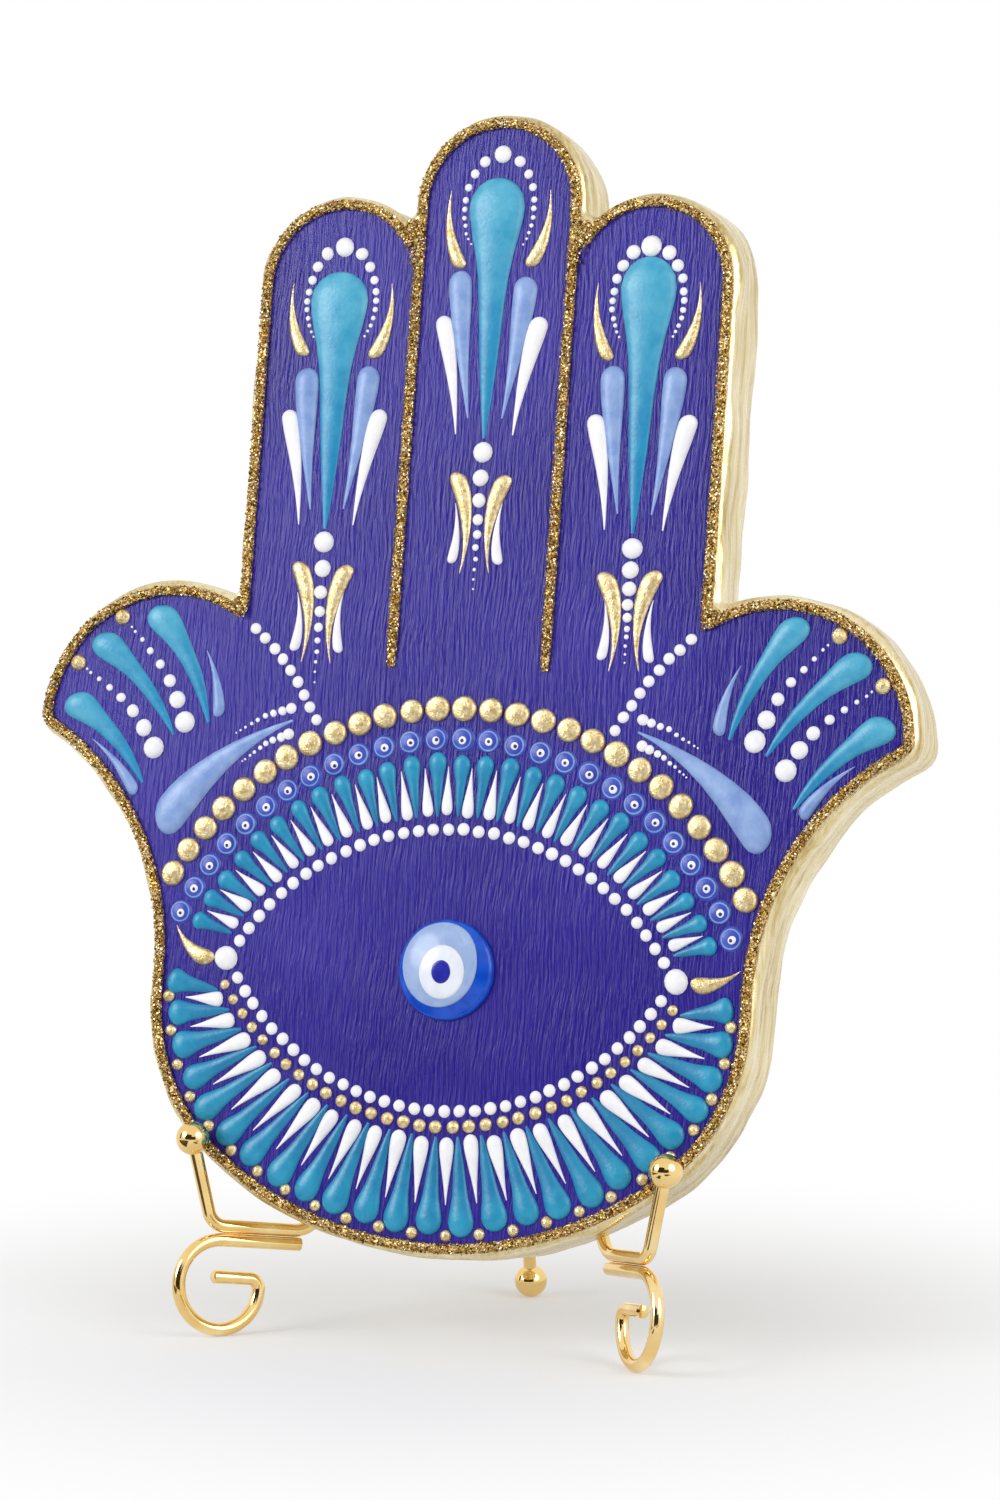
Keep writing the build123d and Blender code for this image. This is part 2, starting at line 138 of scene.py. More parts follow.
# Fingers, palm corner and the hollow under the thumb
finger_radius = finger_width / 2
finger_edge = 1.5 * finger_width
middle_centre = middle_finger_top - finger_radius
outer_centre = outer_finger_top - finger_radius
line_top = outer_centre + 8.6
corner_side = palm_half_width - palm_corner_radius
corner_turn = degrees(asin(corner_side / (palm_bottom_radius - palm_corner_radius)))
corner_height = palm_bottom_radius - (palm_bottom_radius - palm_corner_radius) * cos(radians(corner_turn))
waist_height = corner_height + waist_length
tip_out = thumb[0] + thumb_radius - palm_half_width
tip_up = thumb[1] - waist_height
hollow_radius = (tip_out**2 + tip_up**2) / (2 * tip_out)
hollow = (palm_half_width + hollow_radius, waist_height)

# Face frame: across the hand, up the leaning face and out of it, from where the bead line is lowest
rightward = Vector((1, 0, 0))
lean_up = Vector((0, sin(lean), cos(lean)))
lean_out = Vector((0, -cos(lean), sin(lean)))
face_low = Vector((0, -22.7127, 18.4292)) * mm
face_frame = Matrix((rightward, lean_up, lean_out)).transposed().to_4x4()
face_frame.translation = face_low

# Easel frame: hook and scroll planes, hinge and leg
face_offset = wire_radius + rest_gap + board_thickness
prong_reach = hook_rise * tan(prong_lean)
ball_ahead = face_offset + bead_height + hook_gap + ball_radius
arm_length = ball_ahead / cos(splay) - prong_reach
bend_half_span = hook_half_span - (arm_length + prong_reach) * sin(splay)
arm_slope = cos(splay) * sin(lean)
bend_height = arm_height - arm_length * arm_slope
scroll_centre = arm_length - scroll_setback
scroll_depth = scroll_inner_radius * hypot(arm_slope, cos(lean))
scroll_inner_up = (wire_radius - bend_height - scroll_centre * arm_slope + scroll_depth) / cos(lean)
scroll_up = scroll_inner_up - scroll_inner_radius + scroll_radius
run_up = -2 * wire_radius - weld_gap
shoulder_radius = run_up - scroll_up
bar_back = 2 * wire_radius + weld_gap
sleeve_radius = wire_radius + hinge_clearance + sleeve_wall
leg_back = bar_back + sleeve_radius + wire_radius - braze_depth
leg_top_y = hinge_rise * sin(lean) + leg_back * cos(lean)
leg_top_z = bend_height + hinge_rise * cos(lean) - leg_back * sin(lean)
leg_foot_y = leg_top_y + (leg_top_z - ball_radius) * tan(leg_open - lean)
scroll_reach = scroll_radius * hypot(cos(splay) * cos(lean), sin(lean)) + wire_radius
front_y = scroll_up * sin(lean) - scroll_centre * cos(splay) * cos(lean) - scroll_reach
bend_y = -(front_y + leg_foot_y + ball_radius) / 2


def lean_point(side, up, back):
    """A point given across the easel, up its leaning back and behind it."""
    y = bend_y + up * sin(lean) + back * cos(lean)
    z = bend_height + up * cos(lean) - back * sin(lean)
    return Vector((side, y, z)) * mm


def hook_point(side, across, up):
    """A point of the right (1) or left (-1) hook and scroll plane."""
    out = rightward * sin(splay) + lean_out * cos(splay)
    point = lean_point(bend_half_span, 0, 0) + (out * across + lean_up * up) * mm
    return Vector((side * point.x, point.y, point.z))


# ---- materials; colours are read off in 0 to 255

def srgb(colour):
    """A colour as the shader wants it."""
    shares = [tone / 255 for tone in colour]
    tones = [share / 12.92 if share <= 0.04045 else ((share + 0.055) / 1.055) ** 2.4 for share in shares]
    return (*tones, 1.0)


def feed(tree, made, values):
    """Sets a node's sockets, by number or label; a value can be the socket of another node."""
    for key, value in values.items():
        if isinstance(value, bpy.types.NodeSocket):
            tree.links.new(value, made.inputs[key])
        else:
            made.inputs[key].default_value = value


def node(tree, kind, *values, give=0, **named):
    """Adds a node and returns one of its outputs, or all if None is to be given. Values go to its sockets in
    order, named ones to the sockets or settings of that name."""
    made = tree.nodes.new(kind)
    sockets = dict(enumerate(values))
    for label, value in named.items():
        if label.islower():
            setattr(made, label, value)
        else:
            sockets[label.replace("_", " ")] = value
    feed(tree, made, sockets)
    return made.outputs if give is None else made.outputs[give]


def maths(tree, operation, *values):
    return node(tree, "ShaderNodeMath", *values, operation=operation)


def vectors(tree, operation, *values, **more):
    return node(tree, "ShaderNodeVectorMath", *values, operation=operation, **more)


def noise(tree, vector, scale, detail, give="Fac", **more):
    return node(tree, "ShaderNodeTexNoise", Vector=vector, Scale=scale, Detail=detail, give=give, **more)


def new_group(name, inputs, outputs):
    """A node group with sockets given as {kind: labels}, what it is given and the node it leaves by."""
    group = bpy.data.node_groups.new(name, "ShaderNodeTree")
    for way, sockets in (("INPUT", inputs), ("OUTPUT", outputs)):
        for kind, labels in sockets.items():
            for label in labels:
                group.interface.new_socket(name=label, in_out=way, socket_type=kind)
    return group, group.nodes.new("NodeGroupInput").outputs, group.nodes.new("NodeGroupOutput")


def new_material(name):
    made = bpy.data.materials.new(name)
    made.use_nodes = True
    return made, made.node_tree


def own_coords(tree):
    return node(tree, "ShaderNodeTexCoord", give="Object")


def shade(tree, **values):
    """Sets the shader's own sockets, with _ for a space in their labels."""
    values = {label.replace("_", " "): value for label, value in values.items()}
    feed(tree, tree.nodes["Principled BSDF"], values)


def tint(tree, value, *stops):
    """Colour that runs through stops of (place, colour) as a value rises."""
    made = node(tree, "ShaderNodeValToRGB", Fac=value)
    band = made.node.color_ramp
    while len(band.elements) < len(stops):
        band.elements.new(0.5)
    for element, (place, colour) in zip(band.elements, stops):
        element.position = place
        element.color = srgb(colour)
    return made


def spread(tree, value, low, high):
    """A value of 0 to 1 made to run from low to high."""
    return node(tree, "ShaderNodeMapRange", Value=value, To_Min=low, To_Max=high)


def weigh(tree, first, share, second):
    """Two values added, the first by its share and the second by the rest."""
    return maths(tree, "MULTIPLY_ADD", first, share, maths(tree, "MULTIPLY", second, 1 - share))


def bump(tree, height, strength, depth):
    return node(tree, "ShaderNodeBump", Height=height, Strength=strength, Distance=depth * mm)


def face_upright(tree):
    """The piece's own coordinates, with Z turned up the leaning face."""
    return node(tree, "ShaderNodeMapping", Vector=own_coords(tree), Rotation=(lean, 0, 0))


def make_brush_group():
    """Brush marks: fine ridges drawn out along the stroke, with a slow change from patch to patch."""
    group, given, leave = new_group(
        "brush_marks", {"NodeSocketVector": ["Vector"], "NodeSocketFloat": ["Fineness", "Wander"]},
        {"NodeSocketFloat": ["Ridge", "Patch"]})
    bend = noise(group, given["Vector"], 45.0, 2.0, give="Color")
    push = vectors(group, "SCALE", bend, Scale=maths(group, "MULTIPLY", given["Wander"], 0.006))
    moved = vectors(group, "ADD", given["Vector"], push)
    drawn = node(group, "ShaderNodeMapping", Vector=moved, Scale=(1.0, 1.0, 0.075))
    feed(group, leave, {"Ridge": noise(group, drawn, given["Fineness"], 3.0, Roughness=0.55),
                        "Patch": noise(group, given["Vector"], 28.0, 3.0)})
    return group


def make_paint_group():
    """Raised craft paint: two tones that drift into each other, and a fine uneven skin."""
    group, given, leave = new_group(
        "paint_skin",
        {"NodeSocketVector": ["Vector"], "NodeSocketColor": ["Light", "Deep"],
         "NodeSocketFloat": ["Grain", "Drift"]},
        {"NodeSocketColor": ["Color"], "NodeSocketFloat": ["Skin", "Gloss"]})
    drift = noise(group, given["Vector"], given["Drift"], 3.0, Roughness=0.6)
    share = node(group, "ShaderNodeMapRange", Value=drift, From_Min=0.32, From_Max=0.68)
    blend = node(group, "ShaderNodeMix", data_type="RGBA", Factor=share, A=given["Deep"], B=given["Light"],
                 give="Result")
    skin = noise(group, given["Vector"], given["Grain"], 2.0)
    feed(group, leave, {"Color": blend, "Skin": skin, "Gloss": spread(group, skin, 0.26, 0.44)})
    return group


brush_group = make_brush_group()
paint_group = make_paint_group()


def brush_marks(tree, vector, fineness, wander):
    return node(tree, "ShaderNodeGroup", node_tree=brush_group, Vector=vector, Fineness=fineness,
                Wander=wander, give=None)


def blue_ground():
    """Violet-blue ground coat, brushed up and down, hazy where the varnish catches the light."""
    made, tree = new_material("violet_blue_ground")
    marks = brush_marks(tree, face_upright(tree), 2000.0, 0.6)
    tone = tint(tree, weigh(tree, marks["Ridge"], 0.35, marks["Patch"]),
                (0.3, (28, 12, 118)), (0.5, (35, 19, 134)), (0.72, (50, 35, 150)))
    shade(tree, Base_Color=tone, Roughness=spread(tree, marks["Patch"], 0.22, 0.36), Specular_IOR_Level=0.32,
          Normal=bump(tree, marks["Ridge"], 0.6, 0.35))
    return made


def gilded_side():
    """Champagne-gold leaf paint on the sides and back, streaked along the edge."""
    made, tree = new_material("champagne_gilding")
    upright = face_upright(tree)
    drawn = node(tree, "ShaderNodeMapping", Vector=upright, Scale=(45.0, 420.0, 45.0))
    streak = noise(tree, drawn, 1.0, 4.0, Roughness=0.6)
    both = weigh(tree, streak, 0.65, brush_marks(tree, upright, 1300.0, 1.2)["Ridge"])
    tone = tint(tree, both, (0.34, (180, 153, 96)), (0.48, (222, 204, 154)), (0.64, (243, 232, 200)))
    shade(tree, Base_Color=tone, Roughness=spread(tree, both, 0.16, 0.36), Metallic=0.85,
          Normal=bump(tree, both, 0.45, 0.6))
    return made


def glitter_glue():
    """Glitter in clear glue: each flake has its own tone, gloss and tilt."""
    made, tree = new_material("gold_glitter")
    flake = node(tree, "ShaderNodeTexVoronoi", Vector=own_coords(tree), Scale=3400.0, give="Color")
    parts = node(tree, "ShaderNodeSeparateColor", Color=flake, give=None)
    tone = tint(tree, parts["Red"], (0.0, (96, 66, 24)), (0.25, (142, 104, 44)), (0.5, (182, 142, 70)),
                (0.78, (216, 184, 112)), (1.0, (252, 240, 206)))
    tilt = vectors(tree, "MULTIPLY_ADD", flake, (1.2, 1.2, 1.2), (-0.6, -0.6, -0.6))
    leaned = vectors(tree, "ADD", node(tree, "ShaderNodeNewGeometry", give="Normal"), tilt)
    shade(tree, Base_Color=tone, Roughness=spread(tree, parts["Green"], 0.12, 0.5), Metallic=0.9,
          Normal=vectors(tree, "NORMALIZE", leaned))
    return made


def craft_paint(name, light, deep, tail=None, grain=1500.0, drift=320.0, metal=0.0, strength=0.25):
    """Dot paint in a light and a deep tone; a tail gives drops two other tones towards their tips."""
    made, tree = new_material(name)
    tones = {"Light": srgb(light), "Deep": srgb(deep)}
    if tail:
        along = node(tree, "ShaderNodeAttribute", attribute_name="head_share", give="Fac")
        for label, thin, thick in (("Light", tail[0], light), ("Deep", tail[1], deep)):
            tones[label] = tint(tree, along, (0.3, thin), (0.9, thick))
    skin = node(tree, "ShaderNodeGroup", node_tree=paint_group, Vector=own_coords(tree), Grain=grain,
                Drift=drift, give=None, **tones)
    shade(tree, Base_Color=skin["Color"], Roughness=skin["Gloss"], Metallic=metal,
          Normal=bump(tree, skin["Skin"], strength, 0.2))
    return made


def melted_glass(name, light, deep):
    """Lamp-worked opaque glass: even colour with faint swirls under a wet gloss."""
    made, tree = new_material(name)
    swirl = noise(tree, own_coords(tree), 260.0, 3.0, Distortion=1.2)
    tone = tint(tree, swirl, (0.3, deep), (0.7, light))
    shade(tree, Base_Color=tone, Roughness=spread(tree, swirl, 0.16, 0.3), Specular_IOR_Level=0.3,
          Coat_Weight=0.2, Coat_Roughness=0.12)
    return made


def gold_plate():
    """Polished gold-plated wire: bright, with faint drawing lines and a few duller patches."""
    made, tree = new_material("gold_plated_wire")
    coords = own_coords(tree)
    cloud = noise(tree, coords, 130.0, 3.0)
    tone = tint(tree, cloud, (0.3, (234, 195, 118)), (0.55, (245, 213, 146)), (0.75, (253, 232, 178)))
    shade(tree, Base_Color=tone, Roughness=spread(tree, cloud, 0.04, 0.14), Metallic=1.0,
          Normal=bump(tree, noise(tree, coords, 2600.0, 2.0), 0.04, 0.1))
    return made


# Finishes, each a material slot and its material; the board keeps the two materials of its own faces
blue_coat = blue_ground()
gilding = gilded_side()
board_finish = ("painted_board", None)
glitter = ("glitter", glitter_glue())
white_paint = ("white_paint", craft_paint("white_dot_paint", (246, 245, 244), (232, 232, 237)))
turquoise_paint = ("turquoise_paint", craft_paint("turquoise_paint", (88, 174, 203), (52, 154, 191),
                                                  tail=((26, 142, 186), (10, 124, 174))))
fan_paint = ("turquoise_paint", craft_paint("deep_turquoise_paint", (36, 154, 190), (12, 132, 176),
                                            tail=((18, 128, 172), (6, 112, 160))))
light_blue_paint = ("light_blue_paint", craft_paint("light_blue_paint", (142, 170, 216), (114, 144, 202)))
blue_paint = ("blue_paint", craft_paint("small_eye_blue", (56, 84, 190), (36, 54, 162)))
pupil_paint = ("blue_paint", craft_paint("small_eye_pupil", (30, 34, 128), (18, 16, 92)))
gold_paint = ("gold_paint", craft_paint("gold_dot_paint", (246, 232, 190), (204, 170, 102), grain=3200.0,
                                        drift=1300.0, metal=0.8, strength=0.7))
cobalt_glass = ("cobalt_glass", melted_glass("cobalt_glass", (2, 84, 204), (0, 60, 178)))
pale_glass = ("pale_glass", melted_glass("pale_blue_glass", (160, 182, 220), (140, 164, 208)))
white_glass = ("white_glass", melted_glass("white_glass", (232, 235, 242), (218, 224, 236)))
pupil_glass = ("pupil_glass", melted_glass("pupil_glass", (40, 46, 170), (26, 24, 138)))
wire_gold = ("gold_wire", gold_plate())


# ---- modelling helpers; lengths in millimetres unless they are places in the scene

def edit_mode():
    bpy.ops.object.mode_set(mode="EDIT")


def object_mode():
    bpy.ops.object.mode_set(mode="OBJECT")


def select_mesh():
    bpy.ops.mesh.select_all(action="SELECT")


def deselect():
    bpy.ops.object.select_all(action="DESELECT")


def disc(sides, radius, place=(0, 0, 0), turn=(0, 0, 0)):
    """Starts a piece as one round face, in edit mode with the face selected."""
    deselect()
    bpy.ops.mesh.primitive_circle_add(vertices=sides, radius=radius * mm, fill_type="NGON", location=place,
                                      rotation=turn)
    piece = bpy.context.object
    bpy.ops.object.transform_apply(location=True, rotation=True, scale=True)
    edit_mode()
    select_mesh()
    bpy.ops.mesh.select_mode(type="FACE")
    return piece


def extrude(move):
    bpy.ops.mesh.extrude_region_move(TRANSFORM_OT_translate={"value": move})


def inset(inward, outward=0.0):
    bpy.ops.mesh.inset(thickness=inward * mm, depth=outward * mm)


def face_outwards():
    select_mesh()
    bpy.ops.mesh.normals_make_consistent(inside=False)


def cut_below(height):
    bpy.ops.mesh.bisect(plane_co=(0, 0, height * mm), plane_no=(0, 0, 1), clear_inner=True)


def pick_faces(piece, wanted):
    """Goes on in edit mode with only the wanted faces selected."""
    object_mode()
    for part in (piece.data.vertices, piece.data.edges, piece.data.polygons):
        part.foreach_set("select", [False] * len(part))
    for face in piece.data.polygons:
        face.select = wanted(face)
    edit_mode()
    bpy.ops.mesh.select_mode(type="FACE")


def smooth(piece, angle):
    deselect()
    piece.select_set(True)
    bpy.context.view_layer.objects.active = piece
    bpy.ops.object.shade_smooth_by_angle(angle=radians(angle))


def roughen(piece, grain, detail, depth, middle=0.5, group=""):
    """Makes a surface uneven, or only the part of it in a vertex group."""
    lumps = bpy.data.textures.new("lumps", "CLOUDS")
    lumps.noise_scale = grain * mm
    lumps.noise_depth = detail
    uneven = piece.modifiers.new("uneven", "DISPLACE")
    uneven.texture = lumps
    uneven.texture_coords = "LOCAL"
    uneven.vertex_group = group
    uneven.strength = depth * mm
    uneven.mid_level = middle
    bpy.context.view_layer.objects.active = piece
    bpy.ops.object.modifier_apply(modifier=uneven.name)


def join_parts(parts):
    deselect()
    for part in parts:
        part.select_set(True)
    bpy.context.view_layer.objects.active = parts[0]
    if len(parts) > 1:
        bpy.ops.object.join()
    return parts[0]


def lay_copies(master, places):
    """Copies a master to each place and joins the copies into one piece."""
    copies = []
    for place in places:
        copy = master.copy()
        copy.data = master.data.copy()
        copy.data.transform(place)
        bpy.context.collection.objects.link(copy)
        copies.append(copy)
    return join_parts(copies)


def settle(piece, name, body, finish, *nodes):
    """Names a finished piece, gives it its finish and hangs it on its body."""
    slot, material = finish
    piece.name = name
    piece.data.name = name
    if material:
        piece.data.materials.clear()
        piece.data.materials.append(material)
    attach(piece, body)
    if nodes:
        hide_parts(*nodes)


def settle_on_face(piece, name, finish, *nodes):
    """Stands a piece that was modelled flat onto the leaning face of the hand."""
    piece.data.transform(face_frame)
    piece.data.update()
    settle(piece, name, "hand", finish, *nodes)


def wobble(amount):
    return hand_of_chance.uniform(-amount, amount)


# ---- outline of the hand

def part_way(a, b, share):
    return (a[0] + (b[0] - a[0]) * share, a[1] + (b[1] - a[1]) * share)


def circle_crossing(c1, r1, c2, r2):
    """The crossing of two circles to the right of the line from c1 to c2."""
    dx = c2[0] - c1[0]
    dy = c2[1] - c1[1]
    gap = hypot(dx, dy)
    along = (gap**2 + r1**2 - r2**2) / (2 * gap)
    across = sqrt(r1**2 - along**2)
    return (c1[0] + (along * dx + across * dy) / gap, c1[1] + (along * dy - across * dx) / gap)


def angle_from(centre, point):
    return degrees(atan2(point[1] - centre[1], point[0] - centre[0]))


def polar(centre, reach, turn):
    return (centre[0] + reach * cos(radians(turn)), centre[1] + reach * sin(radians(turn)))


def arc_points(centre, radius, start, end, spacing):
    count = max(4, round(abs(radians(end - start)) * radius / spacing))
    return [polar(centre, radius, start + (end - start) * step / count) for step in range(count + 1)]


def hand_outline(grow, notch, spacing):
    """Points round the hand, anticlockwise, on the bead line grown outwards."""
    hollow_grown = hollow_radius - grow
    thumb_grown = thumb_radius + grow
    finger_grown = finger_radius + grow
    tip_round = thumb_tip_round + grow
    tip = circle_crossing(hollow, hollow_grown + tip_round, thumb, thumb_grown - tip_round)
    tip_start = angle_from(hollow, tip)
    tip_end = angle_from(thumb, tip)
    web_side = finger_edge + grow + notch
    web = (web_side, thumb[1] + sqrt((thumb_grown + notch) ** 2 - (web_side - thumb[0]) ** 2))
    web_turn = angle_from(thumb, web)
    finger = (finger_width, outer_centre)
    gap_side = finger_grown + notch
    gap = (gap_side, outer_centre + sqrt(gap_side**2 - (gap_side - finger_width) ** 2))
    gap_turn = angle_from(finger, gap)
    arcs = [
        ((0, palm_bottom_radius), palm_bottom_radius + grow, -90, corner_turn - 90),
        ((corner_side, corner_height), palm_corner_radius + grow, corner_turn - 90, 0),
        (hollow, hollow_grown, 180, tip_start),
        (tip, tip_round, tip_start - 180, tip_end),
        (thumb, thumb_grown, tip_end, web_turn),
        (web, notch, web_turn + 180, 180),
        (finger, finger_grown, 0, gap_turn),
        (gap, notch, gap_turn + 180, 180),
        ((0, middle_centre), finger_grown, 0, 90),
    ]
    half = []
    for arc in arcs:
        for point in arc_points(*arc, spacing):
            if half:
                last = half[-1]
                if dist(last, point) < 0.2 * spacing:
                    continue
                steps = round(dist(last, point) / spacing)
                half += [part_way(last, point, step / steps) for step in range(1, steps)]
            half.append(point)
    half = [point for point in half if point[0] > 0.25 * spacing]
    bottom = (0.0, -grow)
    top = (0.0, middle_centre + finger_grown)
    return [bottom] + half + [top] + [(-x, y) for x, y in reversed(half)]


def outline_blank(points, height):
    """Starts a piece as one flat face with the hand's outline, in edit mode."""
    piece = disc(len(points), palm_half_width)
    object_mode()
    for vertex, (x, y) in zip(piece.data.vertices, points):
        vertex.co = (x * mm, y * mm, height * mm)
    piece.data.update()
    edit_mode()
    return piece


# ---- hand board

def round_over(radius, steps=6):
    """Rounds the rim of the selected face with a fan of insets."""
    for step in range(steps):
        low = radians(90 * step / steps)
        high = radians(90 * (step + 1) / steps)
        inset(radius * (cos(low) - cos(high)), radius * (sin(high) - sin(low)))


def make_board():
    """Thick board: gilded lumpy sides and back, rounded edges, flat painted face."""
    piece = outline_blank(hand_outline(edge_round, notch_round, outline_step), edge_round - board_thickness)
    for row in range(wall_rows):
        extrude((0, 0, (board_thickness - 2 * edge_round) / wall_rows * mm))
    round_over(edge_round)
    inset(face_border)
    pick_faces(piece, lambda face: face.normal.z < -0.9)
    round_over(edge_round)
    inset(back_border)
    object_mode()
    lowest, highest = (0.4 - board_thickness) * mm, -0.7 * mm
    rows = [vertex.index for vertex in piece.data.vertices if lowest < vertex.co.z < highest]
    piece.vertex_groups.new(name="side").add(rows, 1.0, "REPLACE")
    roughen(piece, lump_size, detail=1, depth=lump_depth, middle=0.55, group="side")
    piece.data.materials.append(gilding)
    piece.data.materials.append(blue_coat)
    for face in piece.data.polygons:
        if face.center.z > -0.9 * mm and face.normal.z > 0.995:
            face.material_index = 1
    smooth(piece, 40)
    settle_on_face(piece, "painted_board", board_finish, "hand_board")


# ---- glitter

def make_flake():
    """One glitter flake: a thin six-sided platelet."""
    piece = disc(6, flake_radius)
    extrude((0, 0, flake_thickness * mm))
    face_outwards()
    object_mode()
    return piece


def pinch_of_glitter(flake):
    """A pinch of flakes that lie across one step of the bead, each tilted its own way."""
    places = []
    for step in range(flakes_in_pinch):
        across = hand_of_chance.uniform(-bead_show, bead_show)
        height = bead_height * sqrt(1 - (across / bead_back_half) ** 2)
        lie = -asin(across / bead_back_half) * 0.8
        turn = Euler((lie + wobble(flake_tilt), wobble(flake_tilt), wobble(any_turn))).to_matrix().to_4x4()
        size = hand_of_chance.uniform(0.7, 1.3)
        spot = Vector((wobble(pinch_half_length), across, height + 0.03)) * mm
        places.append(Matrix.Translation(spot) @ turn @ Matrix.Scale(size, 4))
    return lay_copies(flake, places)


def scatter_glitter(points, slim=None):
    """Lays pinches of glitter end to end along a line of points, slimmed where the line is."""
    groups = [[] for pinch in pinches]
    for start, end in zip(points, points[1:]):
        x, y = part_way(start, end, 0.5)
        heading = radians(angle_from(start, end)) + hand_of_chance.choice((0, radians(180)))
        share = slim(y) if slim else 1.0
        spot = Matrix.Translation((x * mm, y * mm, 0)) @ Matrix.Rotation(heading, 4, "Z")
        spot = spot @ Matrix.Diagonal((1, share, max(share, 0.6), 1))
        groups[hand_of_chance.randrange(len(pinches))].append(spot)
    return [lay_copies(pinch, places) for pinch, places in zip(pinches, groups) if places]


def mirrored(drops):
    return [((-tip[0], tip[1]), (-head[0], head[1])) for tip, head in drops]


def make_pools():
    """Glue that gathers where two runs of the bead meet, between the fingers and above the thumbs."""
    runs = [((finger_radius + 0.25, outer_centre + 4.5), (finger_radius + 2.35, outer_centre + 11.9)),
            ((finger_edge - 0.25, thumb[1] + 19.3), (finger_edge + 1.95, thumb[1] + 23.3))]
    pools = mirrored(runs) + runs
    pads = drop_parts(pools, width=pool_width, height=pool_height)
    pads.data.transform(Matrix.Translation((0, 0, -pool_sunk * mm)))
    parts = [pads]
    for tip, head in pools:
        along = (Vector(head) - Vector(tip)).normalized()
        for shift in (-0.3, 0, 0.3):
            line = []
            for share in (0.35, 0.6, 0.85):
                x, y = part_way(tip, head, share)
                aside = shift * pool_width * share
                line.append((x - along.y * aside, y + along.x * aside))
            parts += scatter_glitter(line)
    return parts


def make_rim():
    """Glue bead round the face, moulded over the rounded edge, with flakes stuck all over it."""
    piece = outline_blank(hand_outline(bead_show, notch=0.5, spacing=0.75), bead_foot)
    inset_so_far, height_so_far = 0.0, bead_foot
    for share, height in bead_profile:
        inward = 2 * bead_show * share
        inset(inward - inset_so_far, height - height_so_far)
        inset_so_far, height_so_far = inward, height
    bpy.ops.mesh.delete(type="FACE")
    object_mode()
    roughen(piece, grit_size, detail=2, depth=0.35)
    line = hand_outline(grow=0.02, notch=0.3, spacing=rim_pinch_step)
    rim = join_parts([piece] + scatter_glitter(line + line[:1]) + make_pools())
    smooth(rim, 25)
    settle_on_face(rim, "glitter_bead", glitter, "glitter_rim")


def line_slim(height):
    """Share of its full width that a finger line has at a height on the face."""
    return min(1.0, 0.72 + 0.28 * (height - finger_line_bottom) / 5)


def make_finger_line(side, word):
    """Glitter line between two fingers, running out to a fine end."""
    x = side * finger_radius
    length = line_top - finger_line_bottom
    piece = disc(12, bead_show, (x * mm, line_top * mm, 0), (radians(90), 0, 0))
    width = 1.0
    for step in range(1, line_steps + 1):
        y = line_top - length * step / line_steps
        extrude((0, -length / line_steps * mm, 0))
        change = line_slim(y) / width
        bpy.ops.transform.resize(value=(change, 1, change), center_override=(x * mm, y * mm, 0))
        width = line_slim(y)
    face_outwards()
    cut_below(-0.02)
    object_mode()
    roughen(piece, grit_size, detail=2, depth=0.3)
    count = round(length / line_pinch_step)
    points = [(x, line_top - length * step / count) for step in range(count + 1)]
    line = join_parts([piece] + scatter_glitter(points, line_slim))
    smooth(line, 25)
    settle_on_face(line, word + "_glitter_line", glitter, word + "_finger_line")


# ---- glass eye

glass_radius = glass_diameter / 2
glass_dome = glass_height - glass_rim
dome_radius = (glass_radius**2 + glass_dome**2) / (2 * glass_dome)


def dome_height(reach):
    """Height of the domed disc at a distance from its middle."""
    return glass_height - dome_radius + sqrt(dome_radius**2 - reach**2)


def make_glass_disc():
    """Domed cobalt disc with a rounded rim."""
    piece = disc(64, glass_radius - glass_foot_round, (0, eye_height * mm, 0))
    inset(-glass_foot_round, glass_foot_round)
    reach, height = glass_radius, glass_foot_round
    for ring in range(glass_rings):
        next_reach = glass_radius * (1 - ring / (glass_rings + 0.5)) if ring else glass_radius - 0.3
        next_height = dome_height(next_reach)
        inset(reach - next_reach, next_height - height)
        reach, height = next_reach, next_height
    bpy.ops.mesh.poke()
    object_mode()
    smooth(piece, 60)
    settle_on_face(piece, "cobalt_disc", cobalt_glass, "eye_glass")


def glass_cap(name, finish, cad_node, shift, size, rise, stretch, pull=0.0):
    """A spot of glass melted over the domed disc, with a soft edge and one corner pulled out a little."""
    piece = disc(48, size / 2)
    bpy.ops.transform.resize(value=(*stretch, 1))
    inset(0.12, 0.7)
    inset(0.16, 0.7)
    for ring in range(cap_rings):
        inset((size / 2 - 0.4) / (cap_rings + 1), 0.1)
    bpy.ops.mesh.poke()
    object_mode()
    levels = sorted({round(vertex.co.z, 7) for vertex in piece.data.vertices})
    edge_lifts = {levels[0]: -0.35, levels[1]: rise * 0.55, levels[2]: rise * 0.93}
    for vertex in piece.data.vertices:
        lift = edge_lifts.get(round(vertex.co.z, 7), rise)
        turn = atan2(vertex.co.y, vertex.co.x) - cap_pull_turn
        swell = 1 + pull * max(0, cos(turn)) ** 6
        x = vertex.co.x * swell / mm + shift[0]
        y = vertex.co.y * swell / mm + shift[1]
        vertex.co = Vector((x, eye_height + y, dome_height(hypot(x, y)) + lift)) * mm
    smooth(piece, 50)
    settle_on_face(piece, name, finish, cad_node)


# ---- raised paint: one dot and one drop

dot_stray = 0.1
dot_uneven = 0.05
dot_sunk = 0.02
drop_stray = 0.12
drop_sunk = 0.03


